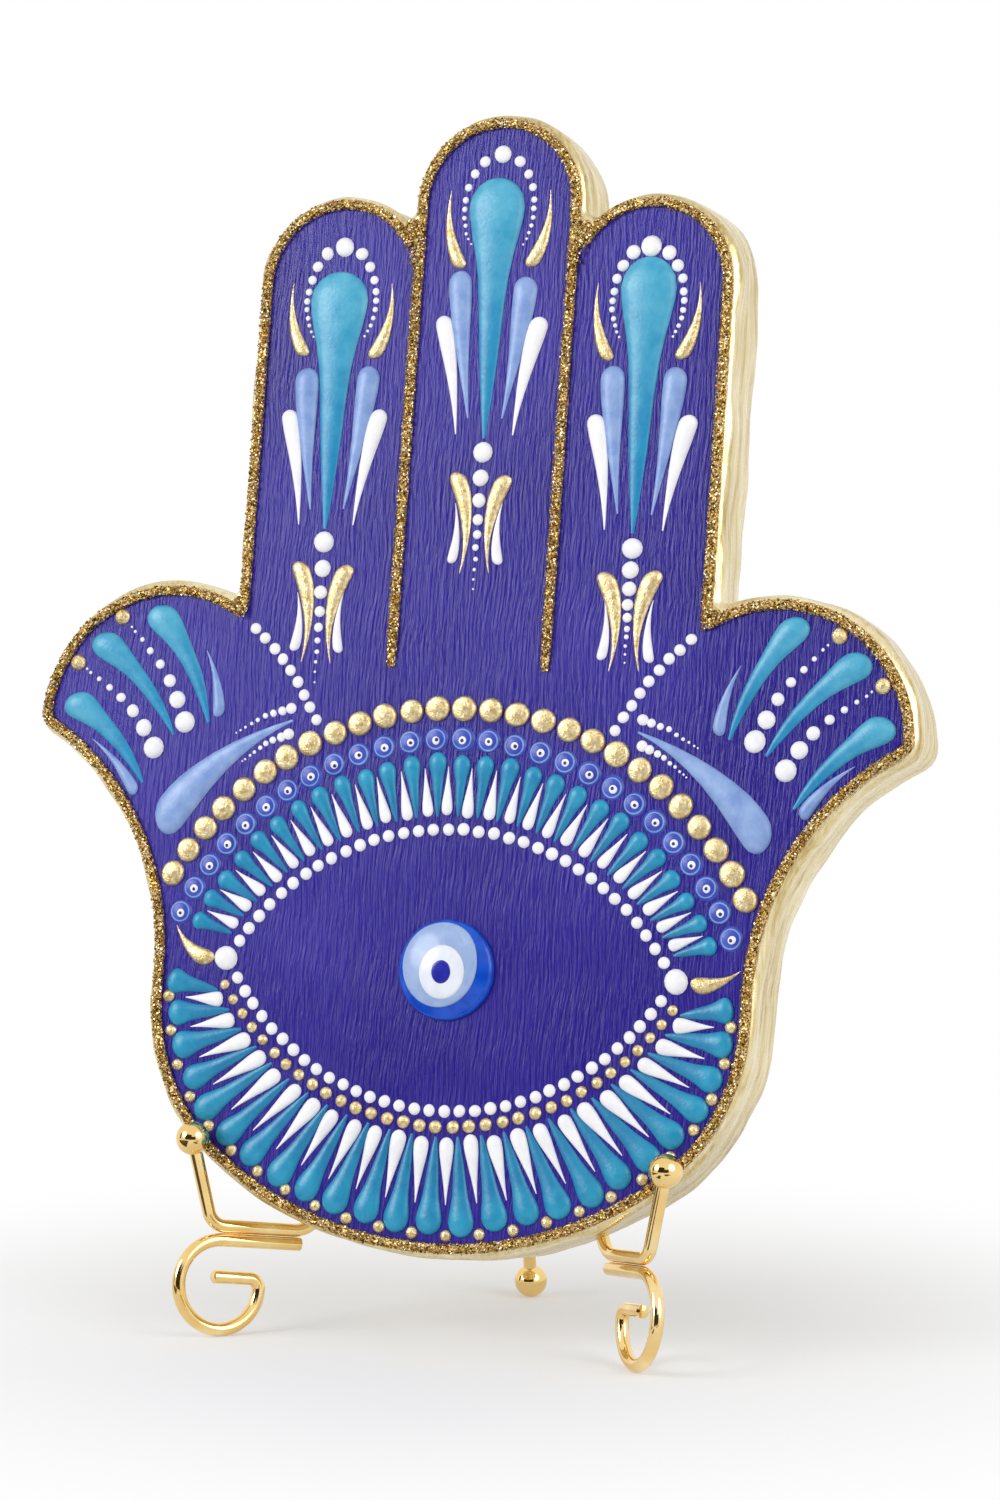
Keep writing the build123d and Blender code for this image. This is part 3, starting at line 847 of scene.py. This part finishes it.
def paint_dot(sides=14, rise=0.3, peak=0.0, flat=False):
    """One dot of paint, 1 mm across: a low dome, flat on top or with a pulled peak if wanted."""
    deselect()
    bpy.ops.mesh.primitive_uv_sphere_add(segments=sides, ring_count=12 if flat else 8, radius=0.5 * mm)
    piece = bpy.context.object
    edit_mode()
    select_mesh()
    cut_below(0)
    select_mesh()
    bpy.ops.transform.resize(value=(1, 1, 2 * rise), center_override=(0, 0, 0))
    object_mode()
    for vertex in piece.data.vertices:
        out = hypot(vertex.co.x, vertex.co.y) / (0.5 * mm)
        if flat:
            vertex.co.z = rise * mm * sqrt(max(0, 1 - out**4))
        if peak:
            vertex.co.z += peak * mm * max(0, 1 - out / 0.45) ** 1.5
            vertex.co.z -= peak * mm * max(0, 1 - abs(out - 0.5) / 0.3) / 2
    smooth(piece, 80)
    return piece


# Width of a drop along its run, from the tip to the middle of the head, as shares of both
slim_form = [(0, 0.04), (0.12, 0.12), (0.25, 0.23), (0.4, 0.39), (0.55, 0.57), (0.7, 0.76), (0.82, 0.91),
             (0.92, 0.985), (1, 1)]
necked_form = [(0, 0.05), (0.13, 0.17), (0.28, 0.29), (0.42, 0.38), (0.57, 0.46), (0.7, 0.56), (0.8, 0.7),
               (0.88, 0.85), (0.95, 0.96), (1, 1)]
head_turns = [radians(turn) for turn in (22, 44, 64, 80)]


def paint_drop(length, width, height, bow=0.0, sides=14, belly=1.0, form=slim_form):
    """One drop of paint along +X, from its fine tip at the origin to the far side of its round head."""
    radius = width / 2
    body = length - radius
    stations = [(body * share, radius * size**belly) for share, size in form]
    stations += [(body + radius * sin(turn), radius * cos(turn)) for turn in head_turns]
    drift = [4 * bow * along / length * (1 - along / length) for along, size in stations]
    piece = disc(sides, stations[0][1], turn=(0, radians(90), 0))
    for step in range(1, len(stations)):
        along, size = stations[step]
        before, size_before = stations[step - 1]
        extrude(((along - before) * mm, (drift[step] - drift[step - 1]) * mm, 0))
        bpy.ops.transform.resize(value=(1, size / size_before, size / size_before),
                                 center_override=(along * mm, drift[step] * mm, 0))
    select_mesh()
    bpy.ops.transform.resize(value=(1, 1, height / radius), center_override=(0, 0, 0))
    face_outwards()
    cut_below(-drop_sunk)
    object_mode()
    smooth(piece, 60)
    shares = [min(1.0, max(0.0, vertex.co.x / (length * mm))) for vertex in piece.data.vertices]
    piece.data.attributes.new("head_share", "FLOAT", "POINT").data.foreach_set("value", shares)
    return piece


# ---- raised paint: laying out; an arc is its half span, the height of its crest and its rise above its ends

def arc_radius(arc):
    half_span, crest, rise = arc
    return (half_span**2 + rise**2) / (2 * rise)


def grown(arc, gap):
    """The arc moved outwards from its centre by a gap."""
    half_span, crest, rise = arc
    share = 1 + gap / abs(arc_radius(arc))
    return (half_span * share, crest + gap * rise / abs(rise), rise * share)


def on_arc(arc, count):
    """Evenly spaced places on an arc."""
    half_span, crest, rise = arc
    radius = arc_radius(arc)
    reach = 2 * atan2(abs(rise), half_span)
    places = []
    for step in range(count):
        turn = reach * (2 * step / (count - 1) - 1)
        places.append((abs(radius) * sin(turn), crest - radius + radius * cos(turn)))
    return places


def between(places):
    return [part_way(a, b, 0.5) for a, b in zip(places, places[1:])]


def both_sides(spots):
    return [(side * x, *rest) for side in (-1, 1) for x, *rest in spots]


def sized(places, size):
    return [(x, y, size) for x, y in places]


def along_points(points, count, power=1.0):
    """Places along a bent line of points, evenly spaced or crowding towards its end."""
    lengths = [0.0]
    for a, b in zip(points, points[1:]):
        lengths.append(lengths[-1] + dist(a, b))
    places = []
    for step in range(count):
        reach = lengths[-1] * (1 - (1 - step / (count - 1)) ** power)
        leg = max(k for k in range(len(points) - 1) if lengths[k] <= reach + 1e-9)
        share = (reach - lengths[leg]) / (lengths[leg + 1] - lengths[leg])
        places.append(part_way(points[leg], points[leg + 1], share))
    return places


def dot_places(spots):
    """Matrices for dots given as (x, y, diameter), a little uneven as by hand."""
    places = []
    for x, y, size in spots:
        spot = Vector((x + wobble(dot_stray), y + wobble(dot_stray), -dot_sunk)) * mm
        width, depth = [size * (1 + wobble(dot_uneven)) for way in "xy"]
        stretch = Matrix.Diagonal((width, depth, size, 1))
        places.append(Matrix.Translation(spot) @ Matrix.Rotation(wobble(any_turn), 4, "Z") @ stretch)
    return places


def graded(lines, count, power, size_at):
    """Dots along bent lines on both sides, each sized by its step."""
    steps = [step for line in lines for step in enumerate(along_points(line, count, power))]
    return both_sides([(x, y, size_at(step)) for step, (x, y) in steps])


def lay_dots(name, spots, finish, *nodes, **shape):
    master = paint_dot(**shape)
    piece = lay_copies(master, dot_places(spots))
    bpy.data.objects.remove(master)
    settle_on_face(piece, name, finish, *nodes)


def drop_matrix(tip, head, length):
    """Where one drop lies, a little uneven as by hand."""
    spot = Vector((tip[0] + wobble(drop_stray), tip[1] + wobble(drop_stray), 0)) * mm
    reach = dist(tip, head) / length * (1 + wobble(0.03))
    stretch = Matrix.Diagonal((reach, 1 + wobble(0.06), 1 + wobble(0.08), 1))
    turn = radians(angle_from(tip, head)) + wobble(0.02)
    return Matrix.Translation(spot) @ Matrix.Rotation(turn, 4, "Z") @ stretch


def drop_parts(drops, **shape):
    """Joined drops of one kind, each given as (tip, head); a bow above 0 swings them left of their run."""
    usual = sum(dist(tip, head) for tip, head in drops) / len(drops)
    master = paint_drop(usual, **shape)
    piece = lay_copies(master, [drop_matrix(tip, head, usual) for tip, head in drops])
    bpy.data.objects.remove(master)
    return piece


def lay_parts(name, parts, finish, *nodes):
    settle_on_face(join_parts(parts), name, finish, *nodes)


def lay_drops(name, drops, finish, *nodes, **shape):
    lay_parts(name, [drop_parts(drops, **shape)], finish, *nodes)


def lay_bowed(name, drops, finish, *nodes, bow, **shape):
    """Bowed drops given for the right side; the left side gets their mirror image."""
    right = drop_parts(drops, bow=bow, **shape)
    left = drop_parts(mirrored(drops), bow=-bow, **shape)
    lay_parts(name, [right, left], finish, *nodes)


# ---- painted eye

outline_count = 34
gold_row_count = 33
row_count = 27
fan_count = 25
outline_dot = 2.25
corner_dot = 4.5
gold_arc_dot = 4.6
small_eye_disc = 4.5
rim_dot = 2.2
row_span = palm_half_width - bead_half - 2.3
eye_span = row_span - 12.0
eye_half_height = 24.8
eye_rise = 21.5
upper_arc = (eye_span, eye_height + eye_half_height, eye_rise)
lower_arc = (eye_span, eye_height - eye_half_height, -eye_rise)
row_arc = (row_span, upper_arc[1] + 16.0, 32.9)
gold_arc = (row_span + 2.05, row_arc[1] + 5.4, 31.4)


def rim_places(inward):
    """Evenly spaced places inside the bead, round the bottom of the palm from waist to waist."""
    line = arc_points((0, palm_bottom_radius), palm_bottom_radius - inward, -90, corner_turn - 90, 1)
    line += arc_points((corner_side, corner_height), palm_corner_radius - inward, corner_turn - 90, 0, 1)
    line.append((palm_half_width - inward, waist_height - 2.4))
    whole = [(-x, y) for x, y in reversed(line)] + line[1:]
    clean = whole[:1]
    for point in whole[1:]:
        if dist(clean[-1], point) > 0.2:
            clean.append(point)
    return along_points(clean, fan_count)


def white_rays(tips, heads, share):
    """White drops between the coloured rays, from heads at the eye to tips a share of the way out."""
    return [(part_way(near, far, share), near) for near, far in zip(between(tips), between(heads))]


def make_small_eye_rings(places):
    """Thin light-blue ring on each small eye."""
    master = disc(18, 1.9, (0, 0, 0.2 * mm))
    for inward, outward in ((0.1, 0.22), (0.16, 0.04), (0.1, -0.12)):
        inset(inward, outward)
    bpy.ops.mesh.delete(type="FACE")
    object_mode()
    smooth(master, 60)
    piece = lay_copies(master, [Matrix.Translation((x * mm, y * mm, 0)) for x, y in places])
    bpy.data.objects.remove(master)
    settle_on_face(piece, "small_eye_rings", light_blue_paint)


def make_painted_eye():
    outline = sized(on_arc(upper_arc, outline_count) + on_arc(lower_arc, outline_count), outline_dot)
    corners = both_sides([(eye_span + 2.5, eye_height, corner_dot)])
    lay_dots("eye_outline", outline + corners, white_paint, "eye_outline_dots")

    gold_row = []
    for step, (x, y) in enumerate(on_arc(grown(lower_arc, 2.7), gold_row_count)):
        from_middle = abs(2 * step / (gold_row_count - 1) - 1)
        gold_row.append((x, y, 1.9 + 0.6 * (1 - from_middle)))
    lay_dots("eye_gold_row", gold_row, gold_paint, rise=0.34, peak=0.06)
    lay_dots("gold_arc", sized(on_arc(gold_arc, row_count), gold_arc_dot), gold_paint, "gold_arc_dots",
             sides=18, rise=0.24, peak=0.06, flat=True)

    small_eyes = on_arc(row_arc, row_count)
    lay_dots("small_eye_discs", sized(small_eyes, small_eye_disc), blue_paint, "eye_row_dots", sides=18,
             rise=0.13)
    make_small_eye_rings(small_eyes)
    lay_dots("small_eye_whites", [(x + 0.2, y - 0.15, 2.0) for x, y in small_eyes], white_paint, rise=0.4)
    lay_dots("small_eye_pupils", [(x + 0.25, y - 0.2, 1.0) for x, y in small_eyes], pupil_paint, rise=0.98)

    tips = on_arc(grown(upper_arc, 2.2), row_count)
    heads = on_arc(grown(row_arc, -2.5), row_count)
    lay_drops("upper_turquoise_rays", list(zip(tips, heads)), fan_paint, "upper_rays", width=3.3, height=0.95,
              belly=0.75, form=necked_form)
    lay_drops("upper_white_rays", white_rays(tips, heads, 0.78), white_paint, "upper_white_drops", width=2.1,
              height=0.7, belly=0.9)

    tips = on_arc(grown(lower_arc, 4.4), fan_count)
    heads = rim_places(bead_half + 0.9)
    lay_drops("lower_turquoise_rays", list(zip(tips, heads)), fan_paint, "lower_rays", width=4.8, height=1.05,
              belly=0.8, form=necked_form)
    lay_drops("lower_white_rays", white_rays(tips, heads, 0.68), white_paint, "lower_white_drops", width=2.8,
              height=0.85, belly=0.9)
    rim_dots = sized(between(rim_places(bead_half + 1.1)), rim_dot)
    lay_dots("rim_gold_dots", rim_dots, gold_paint, rise=0.34, peak=0.06)

    commas = []
    for side, out, up, bow in ((1, 8.8, 2.4, 1.0), (-1, 7.5, 5.4, -1.2)):
        tip = (side * (eye_span + 5.2 + out), eye_height + up)
        head = (side * (eye_span + 5.2), eye_height - 0.4)
        commas.append(drop_parts([(tip, head)], width=3.2, height=0.85, bow=bow))
    lay_parts("eye_corner_commas", commas, gold_paint)


# ---- fingers; places count from the middle of each finger's round end

outer_paint = outer_centre - 1.5
fingers = [(-finger_width, outer_paint), (0.0, middle_centre + 0.65), (finger_width, outer_paint)]
crown_top = (0, 8.3, 3.2)
half_crown = [(3.3, 7.1, 2.1), (5.1, 4.8, 1.75), (6.1, 2.4, 1.45), (6.5, 0.2, 1.2), (6.65, -1.5, 1.05),
              (6.6, -3.1, 0.9), (6.35, -4.6, 0.8), (5.95, -5.9, 0.65), (5.5, -7.0, 0.5), (5.0, -7.9, 0.4)]
crown_sizes = (1.15, 1.0, 1.25)
column_top = -45.3
column = [(0, 3.8), (4.8, 3.1), (9.0, 2.6), (12.5, 2.1), (15.3, 1.7), (17.7, 1.2), (19.7, 0.9), (21.6, 0.65),
          (23.5, 0.5), (25.2, 0.4)]
column_lengths = (1.0, 0.97, 0.8)

# Drops on the right of each finger: their piece, tip and head, and shape
finger_strokes = [
    ("finger_blue_drops", (3.2, -39.3), (6.0, -13.3), dict(width=4.5, height=1.1, bow=-0.35, belly=0.85)),
    ("finger_white_drops", (5.4, -42.2), (9.0, -21.4), dict(width=3.5, height=0.95, bow=0.5, belly=0.85)),
    ("finger_gold_commas", (9.5, 1.8), (6.3, -11.9), dict(width=2.6, height=0.8, bow=1.3)),
    ("finger_gold_commas", (2.8, -67.0), (4.9, -49.2), dict(width=3.4, height=0.9, bow=1.7)),
    ("finger_white_commas", (4.5, -54.4), (4.4, -65.2), dict(width=1.9, height=0.7, bow=-0.7, belly=0.85)),
]
stroke_finishes = {"finger_blue_drops": light_blue_paint, "finger_white_drops": white_paint,
                   "finger_gold_commas": gold_paint, "finger_white_commas": white_paint}


def on_fingers(side, tip, head):
    """The same drop on each finger, or its mirror image for the left side."""
    return [((x + side * tip[0], y + tip[1]), (x + side * head[0], y + head[1])) for x, y in fingers]


def make_finger_paint():
    lay_drops("finger_turquoise_drops", on_fingers(1, (0, -42.8), (0, 5.1)), turquoise_paint, "finger_drops",
              width=10.8, height=1.7, sides=20, form=necked_form)

    crowns = []
    for (x, y), share in zip(fingers, crown_sizes):
        crown = [crown_top] + both_sides(half_crown)
        crowns += [(x + aside, y + up, size * share) for aside, up, size in crown]
    lay_dots("finger_crowns", crowns, white_paint, "finger_crown_dots")

    columns = []
    for (x, y), share in zip(fingers, column_lengths):
        columns += [(x, y + column_top - down * share, size) for down, size in column]
    lay_dots("finger_columns", columns, white_paint, "finger_column_dots")

    parts = {name: [] for name in stroke_finishes}
    for side in (-1, 1):
        for name, tip, head, shape in finger_strokes:
            turned = {**shape, "bow": side * shape["bow"]}
            parts[name].append(drop_parts(on_fingers(side, tip, head), **turned))
    for name, finish in stroke_finishes.items():
        lay_parts(name, parts[name], finish)


# ---- thumbs, given for the right one

thumb_fan = [((49.5, 90.9), (62.0, 112.0)), ((56.3, 88.4), (73.4, 106.0)), ((61.8, 79.5), (78.7, 94.7))]
thumb_beads = [(68.3, 109.6), (76.5, 101.1)]
thumb_rows = [[(54.2, 90.8), (57.0, 97.0), (60.0, 101.4), (63.6, 105.2), (66.2, 107.8)],
              [(60.0, 86.0), (63.5, 91.6), (67.5, 95.2), (71.2, 97.7), (74.6, 100.0)]]
thumb_row_count = 8
thumb_strokes = [((50.8, 103.9), (47.3, 91.7)), ((72.4, 87.2), (63.0, 77.9))]
palm_drop = ((32.8, 91.8), (57.2, 72.0))
palm_rows = [[(33.4, 94.0), (38.4, 92.4), (43.8, 89.3)], [(33.6, 89.4), (37.6, 87.6), (42.2, 84.2)]]
web_row = [(41.4, 108.2), (37.0, 104.2), (32.7, 99.0), (28.4, 92.0)]
palm_row_count = 9
thumb_bead = 3.0
palm_dot = 2.1


def make_thumb_paint():
    lay_bowed("thumb_turquoise_drops", thumb_fan, turquoise_paint, "thumb_drops", width=5.6, height=1.15,
              bow=1.7, belly=0.8, form=necked_form)
    lay_dots("thumb_gold_beads", sized(both_sides(thumb_beads), thumb_bead), gold_paint, "thumb_gold_dots",
             rise=0.3, peak=0.1)

    rows = graded(thumb_rows, thumb_row_count, 1.5,
                  lambda step: 0.5 + 3.5 * (1 - step / (thumb_row_count - 1)) ** 1.7)
    lay_dots("thumb_white_rows", rows, white_paint, "thumb_row_dots")
    lay_bowed("thumb_blue_strokes", thumb_strokes, light_blue_paint, width=2.4, height=0.7, bow=-0.8,
              belly=0.85)
    lay_bowed("palm_blue_drops", [palm_drop], light_blue_paint, "palm_side_drops", width=6.9, height=1.3,
              bow=2.6, belly=0.9)

    rows = graded(palm_rows, palm_row_count, 1.3, lambda step: palm_dot * 0.8**step)
    lay_dots("palm_white_rows", rows, white_paint)
    lay_dots("web_white_rows", graded([web_row], palm_row_count, 1.0, lambda step: palm_dot), white_paint)


# ---- easel; wire runs take their lengths in metres

def start_wire(place, heading, radius=wire_radius, sides=20):
    return disc(sides, radius, place, heading.to_track_quat("Z", "Y").to_euler())


def run_wire(place, heading, length):
    extrude(heading * length)
    return place + heading * length


def roll_wire(place, heading, axis, radius, turn):
    """Bends the wire round an axis; returns the new place and heading."""
    centre = place + axis.cross(heading) * radius
    steps = max(5, round(turn / bend_step))
    bpy.ops.mesh.spin(steps=steps, angle=-turn, center=centre, axis=axis)
    spun = Matrix.Rotation(turn, 3, axis)
    return centre + spun @ (place - centre), (spun @ heading).normalized()


def roll_towards(place, heading, onward, radius):
    """Bends the wire until it heads onward."""
    axis = heading.cross(onward).normalized()
    return roll_wire(place, heading, axis, radius, heading.angle(onward))


def close_wire(piece):
    select_mesh()
    bpy.ops.mesh.remove_doubles(threshold=0.01 * mm)
    face_outwards()
    object_mode()
    smooth(piece, 40)


def end_wire(piece):
    """Softens the cut end and closes the mesh."""
    inset(0.22, wire_end_length)
    close_wire(piece)


def wire_through(corners, bends):
    """Wire that runs straight from corner to corner and bends round each inner one."""
    place = corners[0]
    heading = (corners[1] - corners[0]).normalized()
    piece = start_wire(place, heading)
    for corner, after, radius in zip(corners[1:], corners[2:], bends):
        onward = (after - corner).normalized()
        trim = radius * tan(heading.angle(onward) / 2)
        place = run_wire(place, heading, (corner - place).length - trim)
        place, heading = roll_towards(place, heading, onward, radius)
    place = run_wire(place, heading, (corners[-1] - place).length)
    return piece, place, heading


def arch_tangent():
    """Where the upright runs into the arch at the top of the back, as (side, rise)."""
    arch_centre = frame_rise - arch_radius
    length = sqrt(bend_half_span**2 + arch_centre**2 - arch_radius**2)
    heading = atan2(arch_centre, -bend_half_span) - atan2(arch_radius, length)
    return bend_half_span + length * cos(heading), length * sin(heading)


def upright_half_span(rise):
    top_side, top_rise = arch_tangent()
    return bend_half_span + (top_side - bend_half_span) * rise / top_rise


def make_side_wire(side, word):
    """Prong, arm, upright and half of the arch, bent from one wire."""
    top_side, top_rise = arch_tangent()
    corners = [
        hook_point(side, arm_length + prong_reach, hook_rise),
        hook_point(side, arm_length, 0),
        hook_point(side, 0, 0),
        lean_point(side * top_side, top_rise, 0),
    ]
    piece, place, heading = wire_through(corners, [hook_bend * mm, back_bend * mm])
    roll_towards(place, heading, rightward * -side, arch_radius * mm)
    close_wire(piece)
    settle(piece, word + "_hook_wire", "easel", wire_gold, word + "_side_wire")


def make_scroll(side, word):
    """Foot wire: a run under the arm, a scroll down to the floor, and a short tip."""
    heading = (hook_point(side, 1, 0) - hook_point(side, 0, 0)).normalized()
    down_axis = lean_up.cross(heading).normalized()
    place = hook_point(side, run_tail, run_up)
    piece = start_wire(place, heading)
    shoulder_start = scroll_centre + scroll_radius - shoulder_radius
    place = run_wire(place, heading, (shoulder_start - run_tail) * mm)
    for radius in (shoulder_radius, scroll_radius, scroll_inner_radius, scroll_hook_radius):
        place, heading = roll_wire(place, heading, down_axis, radius * mm, radians(90))
    run_wire(place, heading, scroll_tip * mm)
    end_wire(piece)
    settle(piece, word + "_scroll", "easel", wire_gold, word + "_scroll_foot")


def make_ball(centre, along, name, body, cad_node):
    """Ball with a small collar groove where the wire goes in."""
    deselect()
    bpy.ops.mesh.primitive_uv_sphere_add(segments=40, ring_count=22, radius=ball_radius * mm, location=centre,
                                         rotation=along.to_track_quat("Z", "Y").to_euler())
    piece = bpy.context.object
    bpy.ops.object.transform_apply(location=True, rotation=True, scale=True)
    pick_faces(piece, lambda face: (face.center - centre).normalized().dot(along) > cos(ball_collar_turn))
    inset(0.06)
    inset(0.05, -0.22)
    object_mode()
    smooth(piece, 50)
    settle(piece, name, body, wire_gold, cad_node)


def make_hinge():
    """Cross wire welded behind the uprights and the sleeve that turns on it."""
    middle = lean_point(0, hinge_rise, bar_back)
    half = upright_half_span(hinge_rise) + wire_radius + hinge_overhang
    bar = start_wire(middle - rightward * half * mm, rightward)
    extrude(rightward * (2 * half - wire_end_length) * mm)
    end_wire(bar)
    settle(bar, "hinge_cross_wire", "easel", wire_gold, "hinge_bar")

    half = upright_half_span(hinge_rise) - wire_radius - sleeve_end_gap
    sleeve = start_wire(middle - rightward * half * mm, rightward, sleeve_radius, 28)
    extrude(rightward * 2 * half * mm)
    pick_faces(sleeve, lambda face: abs(face.normal.x) > 0.9)
    inset(0.12)
    inset(sleeve_wall - 0.2)
    inset(0.06, -0.3)
    object_mode()
    smooth(sleeve, 40)
    settle(sleeve, "hinge_sleeve", "rear_leg", wire_gold, "leg_sleeve")


def make_rear_leg():
    """Leg wire: stop tail behind the arch, a bend at the hinge, then down to its ball."""
    stop_back = 2 * wire_radius + stop_gap
    tail_slope = (leg_back - stop_back) / (frame_rise - hinge_rise)
    tail = lean_point(0, frame_rise + leg_tail_over, stop_back - tail_slope * leg_tail_over)
    foot = Vector((0, bend_y + leg_foot_y, ball_radius)) * mm
    piece, place, heading = wire_through([tail, lean_point(0, hinge_rise, leg_back), foot], [leg_bend * mm])
    end_wire(piece)
    settle(piece, "rear_leg_wire", "rear_leg", wire_gold, "rear_leg")
    make_ball(foot, -heading, "rear_foot_ball", "rear_leg", "rear_ball")


# ---- build

both_words = ((1, "right"), (-1, "left"))
make_board()
flake = make_flake()
pinches = [pinch_of_glitter(flake) for kind in range(pinch_kinds)]
make_rim()
for side, word in both_words:
    make_finger_line(side, word)
for spare in pinches + [flake]:
    bpy.data.objects.remove(spare)

make_glass_disc()
glass_cap("pale_spot", pale_glass, "eye_pale_layer", shift=(-0.75, 0.75), size=14.6, rise=0.16,
          stretch=(0.98, 1.03), pull=0.05)
glass_cap("white_spot", white_glass, "eye_white_layer", shift=(0.1, -0.5), size=9.2, rise=0.3,
          stretch=(0.95, 1.06))
glass_cap("pupil_spot", pupil_glass, "eye_pupil", shift=(0.2, -0.5), size=4.2, rise=0.44,
          stretch=(0.94, 1.06))
make_painted_eye()
make_finger_paint()
make_thumb_paint()

for side, word in both_words:
    make_side_wire(side, word)
    make_scroll(side, word)
    top = hook_point(side, arm_length + prong_reach, hook_rise)
    down = (hook_point(side, arm_length, 0) - top).normalized()
    make_ball(top, down, word + "_ball", "easel", word + "_hook_ball")
make_hinge()
make_rear_leg()


# ---- floor, light and camera, in metres

stage_middle = (0, 0, 0.1)
white = (1, 1, 1, 1)


def shown_rays(tree):
    """1 on rays that make the picture, straight, mirrored or through glass, and 0 on those that light it."""
    rays = node(tree, "ShaderNodeLightPath", give=None)
    either = maths(tree, "MAXIMUM", rays["Is Camera Ray"], rays["Is Glossy Ray"])
    return maths(tree, "MAXIMUM", either, rays["Is Transmission Ray"])


def make_floor():
    """Pale paper floor that fades to white away from the ornament."""
    deselect()
    bpy.ops.mesh.primitive_plane_add(size=12.0, location=(0, 0, 0))
    floor = bpy.context.object
    floor.name = "paper_floor"
    made, tree = new_material("white_paper")
    shade(tree, Base_Color=(0.86, 0.86, 0.87, 1), Roughness=0.9, Specular_IOR_Level=0.1)
    glow = node(tree, "ShaderNodeEmission", Color=white, Strength=1.0)
    reach = vectors(tree, "LENGTH", own_coords(tree), give="Value")
    fade = node(tree, "ShaderNodeMapRange", interpolation_type="SMOOTHSTEP", Value=reach, From_Min=0.02,
                From_Max=0.165, To_Min=0.28)
    share = maths(tree, "MULTIPLY", shown_rays(tree), fade)
    paper = tree.nodes["Principled BSDF"].outputs[0]
    mixed = node(tree, "ShaderNodeMixShader", share, paper, glow)
    feed(tree, tree.nodes["Material Output"], {"Surface": mixed})
    floor.data.materials.append(made)


def make_world():
    """White surroundings that light the ornament at half their brightness."""
    world = bpy.data.worlds.new("studio")
    bpy.context.scene.world = world
    world.use_nodes = True
    tree = world.node_tree
    light = tree.nodes["Background"]
    feed(tree, light, {"Color": white, "Strength": 0.5})
    seen = node(tree, "ShaderNodeBackground", Color=white, Strength=1.0)
    mixed = node(tree, "ShaderNodeMixShader", shown_rays(tree), light.outputs[0], seen)
    feed(tree, tree.nodes["World Output"], {"Surface": mixed})


def aim(name, data, place, target):
    """Stands a lamp or camera at a place and turns it to its target."""
    holder = bpy.data.objects.new(name, data)
    bpy.context.collection.objects.link(holder)
    holder.location = place
    holder.rotation_euler = (Vector(target) - Vector(place)).to_track_quat("-Z", "Y").to_euler()
    return holder


def soft_lamp(name, place, size, power):
    lamp = bpy.data.lights.new(name, "AREA")
    lamp.shape = "DISK"
    lamp.size = size
    lamp.energy = power
    aim(name, lamp, place, stage_middle)


def dark_card(name, place, width, height, target=stage_middle):
    """Black card out of view that gives polished metal its dark reflections."""
    deselect()
    turn = (Vector(target) - Vector(place)).to_track_quat("Z", "Y").to_euler()
    bpy.ops.mesh.primitive_plane_add(size=1.0, location=place, rotation=turn)
    card = bpy.context.object
    card.name = name
    card.scale = (width, height, 1)
    made, tree = new_material(name)
    shade(tree, Base_Color=(0.03, 0.025, 0.02, 1), Roughness=0.9)
    card.data.materials.append(made)
    card.visible_camera = False
    card.visible_diffuse = False
    card.visible_shadow = False


def dark_flag(name, x, y, width, depth):
    """Black card that lies on the floor, for the dark lines in the wires' upright runs."""
    dark_card(name, (x, y, 0.002), width, depth, target=(x, y, 1.0))


make_floor()
make_world()
soft_lamp("key", (-0.85, -0.85, 0.62), size=0.7, power=9.5)
soft_lamp("fill", (0.9, -0.35, 0.55), size=0.8, power=4.5)
dark_card("dark_card_face", (-0.22, -1.5, 0.43), 1.28, 1.04)
dark_card("dark_card_front", (0.5, -1.25, 0.2), 1.0, 0.6)
dark_card("dark_card_left", (-1.3, -0.5, 0.2), 0.3, 0.9)
dark_flag("dark_flag_left", -0.15, -0.155, 0.18, 0.21)
dark_flag("dark_flag_right", 0.11, -0.14, 0.08, 0.09)
dark_flag("dark_flag_middle", 0.015, -0.09, 0.03, 0.06)

view = bpy.data.cameras.new("photo_view")
view.sensor_fit = "VERTICAL"
view.sensor_height = 36.0
view.lens = 113.1
camera = aim("photo_view", view, (0.309, -0.7742, 0.1804), (0.0064, -0.0043, 0.1045))
bpy.context.scene.camera = camera
bpy.context.scene.view_settings.view_transform = "Standard"
